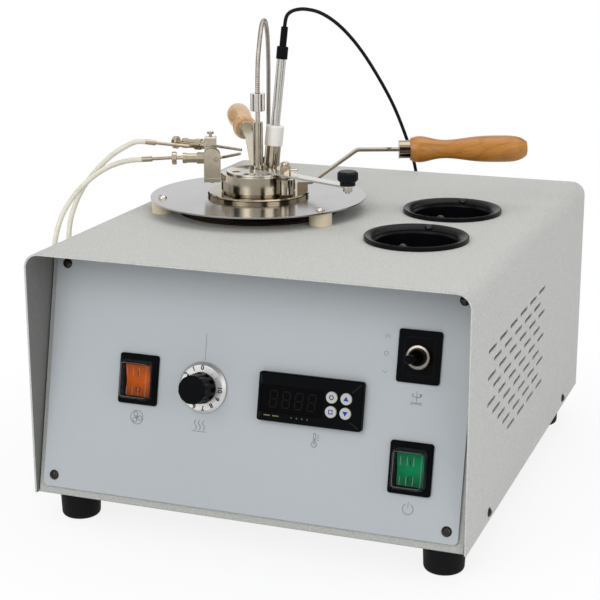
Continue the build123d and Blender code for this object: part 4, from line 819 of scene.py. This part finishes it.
class TESTER_OT_switches(TesterOperator, bpy.types.Operator):
    """Rockers in their black housings under clear caps, and the toggle."""

    bl_idname = "tester.switches"
    bl_label = "Switches"

    RIB_HALF = 2.9

    def execute(self, context):
        black = moulded("switch_black", paint(5, 6, 8), 0.38, 1.0, 0.04)
        dress(black, "switch_housings", "toggle_plate", "toggle_switch", "toggle_lever")
        dress(clear_cap("clear_cap"), "switch_caps")
        marks = ink("rocker_mark", paint(30, 20, 14))
        # one pale ink for the strips on the caps' ribs and for the painted highlight along each
        # cap's top edge
        rib_and_edge_highlight = ink("cap_rib", paint(128, 122, 114), 0.3)
        for node, at, colour in (("fan_rocker", FAN_SWITCH, self.colour("fan_lens")),
                                 ("main_rocker", MAIN_SWITCH, self.colour("main_lens"))):
            middle = on_panel(*at).translation.z
            dress(lens(node + "_lens", colour, 0.12, middle), node)
            self.rocker_marks(node, at, marks)
        ribs = bmesh.new()
        for at in (FAN_SWITCH, MAIN_SWITCH):
            for x in (-4.7, 0, 4.7):
                for y in (6.4, -7.4):
                    stroke(ribs, [(x, y - self.RIB_HALF), (x, y + self.RIB_HALF)], 0.3,
                           on_panel(*at, CAP_FACE), 0.12)
            # painted highlight: a pale line along the cap's top edge
            stroke(ribs, rounded(20.4, 24.8, 1.6), 0.22, on_panel(*at, CAP_FACE - 0.02), 0.06,
                   closed=True)
        piece("cap_ribs", ribs, "case", rib_and_edge_highlight)
        groove = bmesh.new()
        stroke(groove, rounded(21.8, 26.6, 0.8), 0.5, on_panel(*TOGGLE, PLATE_FACE), closed=True)
        piece("toggle_plate_groove", groove, "case",
              ink("groove_black", paint(3, 3, 4)))
        self.ring_nut()
        return {"FINISHED"}

    def rocker_marks(self, node, at, material):
        """A bar on the upper half and a ring on the lower one, printed on the slopes."""
        pivot, middle, end, half_h = 4.0, 1.2, 3.0, 11.75
        lift = shift(0, 0, pivot)
        tilt = lift.inverted() @ Matrix.Rotation(ROCKER_TILT, 4, "X") @ lift
        slope = math.atan2(end - middle, half_h)
        grown = bmesh.new()
        for way, points, width in ((1, [(0, 3.0), (0, 6.6)], 0.7),
                                   (-1, arc(0, -7.0, 1.7, 0, 360, 24), 0.5)):
            half = (on_panel(*at) @ tilt @ shift(0, 0, middle)
                    @ Matrix.Rotation(way * slope, 4, "X"))
            stroke(grown, points, width, half, 0.06)
        piece(node + "_marks", grown, node, material)

    def ring_nut(self):
        """The knurled nut that holds the toggle."""
        grown = bmesh.new()
        profile = [(6.1, 1.55), (8.2, 1.55), (8.75, 2.0), (8.75, 5.0), (8.2, 5.55), (6.9, 5.75),
                   (6.1, 5.75)]
        turned(grown, profile, 4 * self.sizes.knurl, on_panel(*TOGGLE), self.sizes.knurl, 0.18)
        piece("toggle_ring_nut", grown, "case",
              nickel("ring_nut", paint(138, 132, 122), 0.14))


class TESTER_OT_regulator(TesterOperator, bpy.types.Operator):
    """Fluted knob on its numbered dial."""

    bl_idname = "tester.regulator"
    bl_label = "Regulator"

    NUMERAL_R = 14.6
    NUMERAL_STEP = math.radians(27)
    TYPE_SIZE = 1.35  # the type's size over its numerals' height

    def execute(self, context):
        centre = on_panel(*REGULATOR).translation
        dial = satin_aluminium("dial_metal", paint(214, 214, 212), tuple(centre),
                               math.pi / 2 - PANEL_TILT)
        dress(dial, "dial_ring")
        dress(moulded("knob_black", paint(6, 7, 9), 0.38, 1.0, 0.05), "regulator_knob")
        dress(moulded("body_grey", paint(150, 150, 146)), "regulator_body")
        places = []
        for number in range(11):
            turn = self.NUMERAL_STEP * number
            spot = on_panel(REGULATOR[0] - self.NUMERAL_R * math.sin(turn),
                            REGULATOR[1] + self.NUMERAL_R * math.cos(turn),
                            DIAL_FACE + 0.06, turn)
            places.append((str(number), spot))
        numbers = words("dial_numbers", self.sizes.numeral * self.TYPE_SIZE, places)
        piece("dial_numbers", numbers, "regulator", ink("dial_ink", paint(16, 16, 18)))
        return {"FINISHED"}


class TESTER_OT_meter(TesterOperator, bpy.types.Operator):
    """Panel meter: window, unlit digits, small marks and four buttons with their signs."""

    bl_idname = "tester.meter"
    bl_label = "Meter"

    SEGMENTS = {"top": ((0.12, 1.0), (0.88, 1.0)), "middle": ((0.12, 0.5), (0.88, 0.5)),
                "bottom": ((0.12, 0.0), (0.88, 0.0)), "upper_left": ((0.0, 0.9), (0.0, 0.6)),
                "upper_right": ((1.0, 0.9), (1.0, 0.6)), "lower_left": ((0.0, 0.4), (0.0, 0.1)),
                "lower_right": ((1.0, 0.4), (1.0, 0.1))}

    def execute(self, context):
        dress(moulded("meter_black", paint(8, 10, 12), 0.36, 1.0, 0.03), "meter_case")
        buttons = [f"meter_button_{number}" for number in range(1, 5)]
        dress(moulded("button_grey", paint(188, 188, 182), 0.4, 1.0, 0.4), *buttons)
        grown = bmesh.new()
        flat_form(grown, rounded(46.6, 19.1, 1.0), WINDOW_FACE - 0.5, WINDOW_FACE,
                  on_panel(*WINDOW))
        piece("meter_window", grown, "case",
              dark_glass("meter_glass", paint(4, 4, 6)))
        self.digits()
        self.marks()
        self.signs(buttons)
        return {"FINISHED"}

    def digits(self):
        """Four unlit figures of seven segments, faint on the window's face."""
        wide, slant, pitch, first = 5.4, 0.9, 9.6, 17.2
        grown = bmesh.new()
        tall = self.sizes.digit_height / MM
        for step in range(4):
            left = WINDOW[0] - first + step * pitch
            for ends in self.SEGMENTS.values():
                run = [(left + x * wide + y * slant, WINDOW[1] - tall / 2 + y * tall)
                       for x, y in ends]
                stroke(grown, run, 0.8, on_panel(0, 0, WINDOW_FACE), 0.04)
        piece("meter_digits", grown, "case",
              ink("digit_unlit", paint(10, 6, 7), 0.3))

    def marks(self):
        """Painted highlights drawn as grey lines from the window to the bezel's corners, and the
        small marks below the window.
        """
        face = on_panel(0, 0, METER_FACE)
        # painted highlight: grey lines where the bezel's chamfered fold lines catch the light
        fold_highlights = bmesh.new()
        for side, reach in ((-1, 36.2), (1, 31.0)):
            for way in (-1, 1):
                inner = (METER[0] + side * reach, WINDOW[1] + way * 10.4)
                outer = (METER[0] + side * METER_FLAT_W / 2, METER[1] + way * METER_FLAT_H / 2)
                stroke(fold_highlights, [inner, outer], 0.25, face, 0.04)
        piece("meter_folds", fold_highlights, "case", ink("fold_grey", paint(58, 62, 62)))
        marks = bmesh.new()
        low = METER[1] - 13.2
        for x in (-12.5, -8.5, -4.5, -0.5):
            flat_form(marks, arc(METER[0] + x, low, 0.45, 0, 350, 10), 0, PRINT_T, face)
        for x in (METER[0] - 33.0, METER[0] - 26.5):
            stroke(marks, [(x, low), (x + 4.0, low)], 0.7, face)
        piece("meter_marks", marks, "case", ink("meter_ink", paint(122, 114, 86)))

    def signs(self, buttons):
        """A ring, a square, and arrow heads up and down."""
        blue = ink("button_blue", paint(30, 48, 158), 0.4)
        places = [(METER[0] + 16.5 + column * 10.7, METER[1] + 4.6 - row * 10.2)
                  for row in range(2) for column in range(2)]
        for number, (node, spot) in enumerate(zip(buttons, places), 1):
            grown = bmesh.new()
            place = on_panel(*spot, BUTTON_FACE)
            if number == 1:
                stroke(grown, arc(0, 0, 1.4, 0, 360, 20), 0.6, place)
            elif number == 3:
                stroke(grown, rounded(2.6, 2.6, 0.3), 0.6, place, closed=True)
            else:
                way = 1 if number == 2 else -1
                flat_form(grown, [(-2.0, -way * 1.4), (2.0, -way * 1.4), (0, way * 2.0)][::way],
                          0, PRINT_T, place)
            piece(node + "_sign", grown, f"button_{number}", blue)


class TESTER_OT_top(TesterOperator, bpy.types.Operator):
    """Steel disc on its spacers, the wells, and the air bath under the disc."""

    bl_idname = "tester.top"
    bl_label = "Disc, wells and bath"

    def execute(self, context):
        dress(satin_steel("disc_steel", paint(168, 167, 167), 0.16), "shield_plate")
        dress(waxy("spacer_ivory", paint(226, 212, 182)), "shield_spacers")
        dress(nickel("screw_nickel", paint(205, 200, 190), 0.2), "shield_screws")
        dress(moulded("well_enamel", paint(9, 10, 13), 0.3, 0.5, 0.12), "cup_wells")
        dress(nickel("well_screw", paint(58, 58, 60), 0.3), "well_screws")
        dress(cast("bath_casting", paint(70, 70, 70)), "air_bath", "bath_stand")
        dress(board("bath_board", paint(120, 80, 48)), "bath_insulation")
        return {"FINISHED"}


class TESTER_OT_cup(TesterOperator, bpy.types.Operator):
    """Nickel-plated cup, its bar and its wooden grip."""

    bl_idname = "tester.cup"
    bl_label = "Test cup"

    def execute(self, context):
        plated = nickel("cup_nickel", paint(152, 139, 118), 0.08)
        dress(plated, "cup", "cup_handle_bar")
        dress(beech("front_beech", self.colour("front_wood"), CUP_GRIP_TURN,
                    over_cup(CUP_GRIP_Z)), "cup_handle_grip")
        grown = bmesh.new()
        inner, outer, high = FLANGE_R - 0.2, FLANGE_R + 0.05, GROOVE_LOW + GROOVE_W
        profile = [(inner, GROOVE_LOW), (outer, GROOVE_LOW), (outer, high), (inner, high)]
        turned(grown, profile, 96, shift(*CUP_AXIS, 0))
        piece("flange_groove_line", grown, "cup",
              ink("groove_brown", paint(46, 36, 26)))
        return {"FINISHED"}


class TESTER_OT_cover(TesterOperator, bpy.types.Operator):
    """Cover with its shutter, lever, burner, valves and grip."""

    bl_idname = "tester.cover"
    bl_label = "Cover"

    def execute(self, context):
        dress(nickel("cover_nickel", paint(180, 170, 152), 0.09), "cover", "burner_block")
        dress(nickel("valve_nickel", paint(182, 170, 148), 0.09), "gas_valves", "front_needle",
              "rear_needle", "flame_jet", "lever_detent")
        dress(brushed_steel("bar_steel", paint(205, 196, 178), (900, 900, 30), 0.3),
              "cover_handle_bar")
        dress(brushed_steel("lever_steel", paint(214, 212, 206), (25, 900, 900), 0.22),
              "shutter_plate", "shutter_lever")
        dress(knob_over_nut("lever_black", paint(9, 11, 18), paint(190, 182, 168),
                            KNOB_NUT_TOP * MM), "shutter_knob")
        dress(waxy("bushing_white", paint(244, 241, 234)), "probe_bushing")
        dress(beech("rear_beech", self.colour("rear_wood"), COVER_GRIP_TURN,
                    over_cup(COVER_GRIP_Z)), "cover_handle_grip")
        return {"FINISHED"}


class TESTER_OT_drive(TesterOperator, bpy.types.Operator):
    """Stirrer, coupling and the wound flexible shaft."""

    bl_idname = "tester.drive"
    bl_label = "Stirrer drive"

    def execute(self, context):
        dress(brushed_steel("stirrer_steel", paint(196, 190, 180), (900, 900, 40)), "stirrer")
        dress(nickel("coupling_nickel", paint(210, 206, 198), 0.14), "drive_coupling")
        dress(moulded("socket_black", paint(14, 14, 16)), "drive_socket")
        dress(cast("motor_zinc", paint(120, 120, 118)), "stirrer_motor")
        line = line_of(FLEX_SHAFT)
        grown = bmesh.new()
        wound_tube(grown, line, FLEX_R * MM, self.sizes.rib_pitch, FLEX_RIB * MM)
        sheath = nickel("sheath_steel", paint(168, 160, 150), 0.24)
        made = piece("flexible_shaft_wound", grown, "cover", sheath, smooth=True)
        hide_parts("flexible_shaft")
        return {"FINISHED"}


class TESTER_OT_probe(TesterOperator, bpy.types.Operator):
    """Steel probe, its boot, its black lead and the clip behind the case."""

    bl_idname = "tester.probe"
    bl_label = "Temperature probe"

    def execute(self, context):
        dress(brushed_steel("probe_steel", paint(205, 203, 198), (900, 900, 30), 0.2),
              "temperature_probe")
        dress(moulded("boot_black", paint(12, 12, 15), 0.45), "probe_boot", "cable_port")
        cord("probe_lead", "probe_cable", "probe", PROBE_CABLE, CABLE_R,
             rubber("lead_black", paint(14, 14, 17)), "black_cable", length=0.358,
             stiffness="medium", lay="hanging")
        return {"FINISHED"}


class TESTER_OT_supply(TesterOperator, bpy.types.Operator):
    """Power inlet, fan, gas inlets and the two silicone tubes."""

    bl_idname = "tester.supply"
    bl_label = "Rear and gas"

    def execute(self, context):
        dress(moulded("inlet_black", paint(14, 14, 16)), "power_inlet", "fan_frame", "fan_rotor")
        dress(nickel("inlet_nickel", paint(200, 196, 186), 0.2), "gas_inlets")
        milk = silicone("tube_milk", paint(216, 212, 196))
        for name, node, points, size in (
                ("rear_tube", "rear_gas_tube", REAR_TUBE, 0.1868),
                ("front_tube", "front_gas_tube", FRONT_TUBE, 0.1863)):
            cord(name, node, "cover", points, TUBE_R, milk, "tube_silicone", length=size,
                 stiffness="medium", lay="hanging")
        return {"FINISHED"}


class TESTER_OT_stage(TesterOperator, bpy.types.Operator):
    """White floor, soft studio light and the camera."""

    bl_idname = "tester.stage"
    bl_label = "Stage"

    # Boards: bearing in degrees, width and distance in m. Heights and the floor in mm.
    CARD_AWAY = 1.1
    CARD_LOW, CARD_HIGH = 60, 1100
    CARDS = {"card_right": (-8, 0.56, paint(58, 46, 34)),
             "card_front": (-58, 0.24, paint(72, 58, 40)),
             "card_left": (-142, 0.46, paint(44, 36, 28)),
             "card_rear_right": (78, 0.36, paint(40, 34, 28)),
             "card_rear_left": (142, 0.44, paint(64, 52, 38))}
    # Lamps: place and width in m, power in W.
    LAMPS = {"key_light": ((-0.6, -1.9, 1.4), 1.7, 19),
             "fill_light": ((1.9, -1.1, 1.0), 1.6, 9.5),
             "top_light": ((0.35, 0.3, 2.2), 1.9, 13.5)}
    LAMP_AIM = Vector((-0.02, 0.0, 0.16))
    FLOOR_HALF_W = 9000
    WHITE = (1, 1, 1, 1)
    SOFT_WHITE = (0.95, 0.97, 1.0, 1)

    def execute(self, context):
        self.floor()
        self.world(context)
        for name, facts in self.LAMPS.items():
            self.lamp(name, *facts)
        for name, facts in self.CARDS.items():
            self.card(name, *facts)
        self.camera(context)
        context.scene.view_settings.view_transform = "Standard"
        return {"FINISHED"}

    def stand(self, name, grown, material):
        """A new piece of the stage."""
        made = grown_object(name, grown, material)
        return made

    def card(self, name, turn, wide, tone):
        """A dark board round the object, of a width in metres, that only reflections show."""
        grown = bmesh.new()
        place = (Matrix.Rotation(math.radians(turn), 4, "Z")
                 @ Matrix.Translation((self.CARD_AWAY, 0, 0)))
        side = wide / MM / 2
        flat_form(grown, [(-1, -side), (1, -side), (1, side), (-1, side)],
                  self.CARD_LOW, self.CARD_HIGH, place)
        f = Finish(name)
        glow = f.node("ShaderNodeEmission", {}, {"Color": tone, "Strength": 1.0})
        made = self.stand(name, grown, f.output(glow))
        for ray in ("camera", "diffuse", "shadow", "transmission", "volume_scatter"):
            setattr(made, "visible_" + ray, False)

    def floor(self):
        """White paper that fades into the white surroundings and keeps the shadow."""
        grown = bmesh.new()
        wide = self.FLOOR_HALF_W
        flat_form(grown, [(-wide, -wide), (wide, -wide), (wide, wide), (-wide, wide)], -1, 0,
                  Matrix.Identity(4))
        f = Finish("floor_white")
        plain = f.node("ShaderNodeBsdfPrincipled", {}, {
            "Base Color": (0.9, 0.9, 0.9, 1), "Roughness": 0.9, "Specular IOR Level": 0.0})
        white = f.node("ShaderNodeEmission", {}, {"Color": self.WHITE, "Strength": 1.0})
        reach = f.vectors("LENGTH", f.place(), out=1)
        share = f.seen() * f.between(reach, 0.22, 0.42, 0.85, 1.0)
        mixed = f.node("ShaderNodeMixShader", {}, {0: share, 1: plain, 2: white})
        self.stand("floor", grown, f.output(mixed))

    def world(self, context):
        """Soft light for the surfaces, plain white for the rays that see the surroundings."""
        f = Finish("studio", bpy.data.worlds.new("studio"))
        soft, white = (f.node("ShaderNodeBackground", {}, {"Color": colour, "Strength": strength})
                       for colour, strength in ((self.SOFT_WHITE, 0.52), (self.WHITE, 1.0)))
        both = f.node("ShaderNodeMixShader", {}, {0: f.seen(), 1: soft, 2: white})
        context.scene.world = f.output(both, "ShaderNodeOutputWorld")

    def lamp(self, name, place, size, power):
        light = bpy.data.lights.new(name, "AREA")
        light.shape = "DISK"
        light.size = size
        light.energy = power
        made = new_object(name, light)
        made.location = place
        aim = self.LAMP_AIM - Vector(place)
        made.rotation_euler = aim.to_track_quat("-Z", "Y").to_euler()

    def camera(self, context):
        """The photograph's viewpoint, turn, roll and lens."""
        turn, roll = math.radians(20.405), math.radians(-0.124)
        right = Vector((math.cos(turn), math.sin(turn), 0))
        back = Vector((0.33593, -0.90304, 0.26770)).normalized()
        up = back.cross(right)
        across = right * math.cos(roll) + up * math.sin(roll)
        upward = up * math.cos(roll) - right * math.sin(roll)
        data = bpy.data.cameras.new("camera")
        data.lens = 94.083
        data.clip_start = 0.05
        data.clip_end = 60
        made = new_object("camera", data)
        place = Matrix((across, upward, back)).transposed().to_4x4()
        place.translation = Vector((404.42, -1160.30, 481.01)) * MM
        made.matrix_world = place
        context.scene.camera = made


OPERATORS = (
    TESTER_OT_drive, TESTER_OT_probe, TESTER_OT_supply, TESTER_OT_case, TESTER_OT_panel,
    TESTER_OT_switches, TESTER_OT_regulator, TESTER_OT_meter, TESTER_OT_top, TESTER_OT_cup,
    TESTER_OT_cover, TESTER_OT_stage)


class TESTER_PT_sidebar(bpy.types.Panel):
    """Lists the tester's steps and values."""

    bl_idname = "TESTER_PT_sidebar"
    bl_label = "Flash point tester"
    bl_space_type = "VIEW_3D"
    bl_region_type = "UI"
    bl_category = "Tester"

    def draw(self, context):
        for operator in OPERATORS:
            self.layout.operator(operator.bl_idname)
        for group in (context.scene.tester_colours, context.scene.tester_sizes):
            for name in group.__annotations__:
                self.layout.prop(group, name)


CLASSES = (TesterColours, TesterSizes, *OPERATORS, TESTER_PT_sidebar)


def register():
    for made in CLASSES:
        bpy.utils.register_class(made)
    bpy.types.Scene.tester_colours = bpy.props.PointerProperty(type=TesterColours)
    bpy.types.Scene.tester_sizes = bpy.props.PointerProperty(type=TesterSizes)


def unregister():
    del bpy.types.Scene.tester_sizes
    del bpy.types.Scene.tester_colours
    for made in reversed(CLASSES):
        bpy.utils.unregister_class(made)


def main():
    register()
    for operator in OPERATORS:
        group, step = operator.bl_idname.split(".")
        getattr(getattr(bpy.ops, group), step)()


if __name__ == "__main__":
    main()
